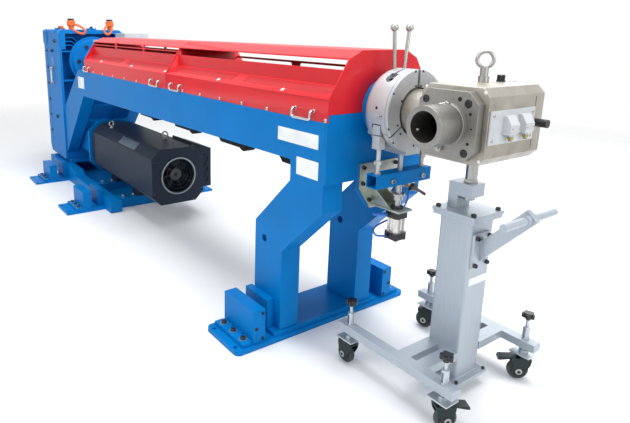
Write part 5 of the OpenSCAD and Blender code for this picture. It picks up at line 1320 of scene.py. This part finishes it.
# %% Anchor screws
ANCHOR_X = np.array([-74.7, 0, 74.7]) * MM
FRONT_ANCHOR_Y, FRONT_ANCHOR_Z = 430 * MM, 36 * MM
REAR_ANCHOR_X, REAR_ANCHOR_Y, REAR_ANCHOR_Z = (-2.047, -2.955), 490 * MM, 32 * MM
ANCHOR_END_X = 112 * MM
washer = turned([(9.4, 0), (17, 0), (17, 2.5), (9.4, 2.5)])
anchor_places = [(x, s * FRONT_ANCHOR_Y, FRONT_ANCHOR_Z) for x in ANCHOR_X for s in SIDES]
anchor_places += [(middle_x + x, s * REAR_ANCHOR_Y, REAR_ANCHOR_Z)
                  for middle_x in REAR_ANCHOR_X for x in ANCHOR_X for s in SIDES]
piece("anchor_washers", [stamp(washer, anchor_places)], zinc_metal)
piece("anchor_screws", [stamp(capped_bolt(11 * MM, 13 * MM), anchor_places)], black_oxide)
block_screws = [(ANCHOR_END_X, s * y * MM, z * MM)
                for s in SIDES for y, z in ((358, 149), (389, 86), (358, 36))]
piece("anchor_block_screws", [stamp(socket_screw(7 * MM, 4 * MM), block_screws, FRONT)], black_oxide)
print("anchor screws:", len(anchor_places) + len(block_screws))

# %% [markdown]
# ## Floor and light
# A pale floor fades out into a white surround, as in a studio. Camera, mirror and glass rays see the surround
# at full white, while lamps of moderate power keep the light that falls on the machine at a plain level.

# %% Studio
FLOOR_R, FADE_FROM, FADE_TO, FLOOR_BELOW = 14.0, 2.6, 7.0, 0.0005
FLOOR_COLOUR, SKY_COLOUR, SKY_STRENGTH = (0.90, 0.91, 0.92, 1.0), (0.93, 0.96, 1.0, 1.0), 0.45
floor_rows = [(0.0, 0.0), (FADE_FROM, 0.0), (FADE_TO, 0.0), (FLOOR_R, 0.0)]
floor_points, floor_faces = lathe(floor_rows, 64)
machine_middle = (np.array(cad_low) + np.array(cad_high)) / 2
floor_mesh = bpy.data.meshes.new("studio_floor")
floor_mesh.from_pydata(floor_points + [machine_middle[0], machine_middle[1], -FLOOR_BELOW], [], floor_faces)
floor = bpy.data.objects.new("studio_floor", floor_mesh)
bpy.context.scene.collection.objects.link(floor)

floor_finish = Finish("studio_floor", Base_Color=FLOOR_COLOUR, Roughness=0.75)
from_middle = floor_finish.node("ShaderNodeVectorMath", settings={"operation": "SUBTRACT"},
                                i0=floor_finish.place, i1=(machine_middle[0], machine_middle[1], 0.0))
distance = floor_finish.node("ShaderNodeVectorMath", out="Value", settings={"operation": "LENGTH"},
                             i0=from_middle)
floor_finish.set(Alpha=1 - distance.step(FADE_FROM, FADE_TO))
floor_mesh.materials.append(floor_finish.material)

world = bpy.data.worlds.new("studio")
bpy.context.scene.world = world
world.use_nodes = True
sky = world.node_tree.nodes
links = world.node_tree.links
soft = sky["Background"]
soft.inputs["Color"].default_value = SKY_COLOUR
soft.inputs["Strength"].default_value = SKY_STRENGTH
white = sky.new("ShaderNodeBackground")
white.inputs["Color"].default_value = (1.0, 1.0, 1.0, 1.0)
white.inputs["Strength"].default_value = 1.0
path = sky.new("ShaderNodeLightPath")
seen = sky.new("ShaderNodeMath")
seen.operation = "MAXIMUM"
links.new(path.outputs["Is Camera Ray"], seen.inputs[0])
links.new(path.outputs["Is Transmission Ray"], seen.inputs[1])
shown = sky.new("ShaderNodeMath")
shown.operation = "MAXIMUM"
links.new(seen.outputs[0], shown.inputs[0])
links.new(path.outputs["Is Glossy Ray"], shown.inputs[1])
mix = sky.new("ShaderNodeMixShader")
links.new(shown.outputs[0], mix.inputs[0])
links.new(soft.outputs[0], mix.inputs[1])
links.new(white.outputs[0], mix.inputs[2])
links.new(mix.outputs[0], sky["World Output"].inputs["Surface"])


def lamp(name, place, target, size, watts):
    """A square soft box at place that looks at target."""
    data = bpy.data.lights.new(name, "AREA")
    data.size = size
    data.energy = watts
    holder = bpy.data.objects.new(name, data)
    turn = np.eye(4)
    turn[:3, :3] = facing(np.array(place) - np.array(target))
    turn[:3, 3] = place
    holder.matrix_world = Matrix(turn.tolist())
    bpy.context.scene.collection.objects.link(holder)


lamp("key_left", (-0.6, -5.2, 4.0), (-0.8, 0.0, 0.7), 4.5, 125)
lamp("overhead", (-0.8, 0.3, 5.5), (-0.8, 0.0, 0.0), 4.0, 250)
lamp("front_top", (0.9, 0.2, 4.2), (0.6, 0.0, 0.0), 2.2, 85)
lamp("front_fill", (5.2, 0.8, 2.6), (0.2, 0.0, 0.7), 3.0, 95)
lamp("back_fill", (-1.5, 5.5, 3.0), (-1.0, 0.0, 0.6), 3.5, 60)
bpy.context.scene.view_settings.view_transform = "Standard"
print("studio ready")
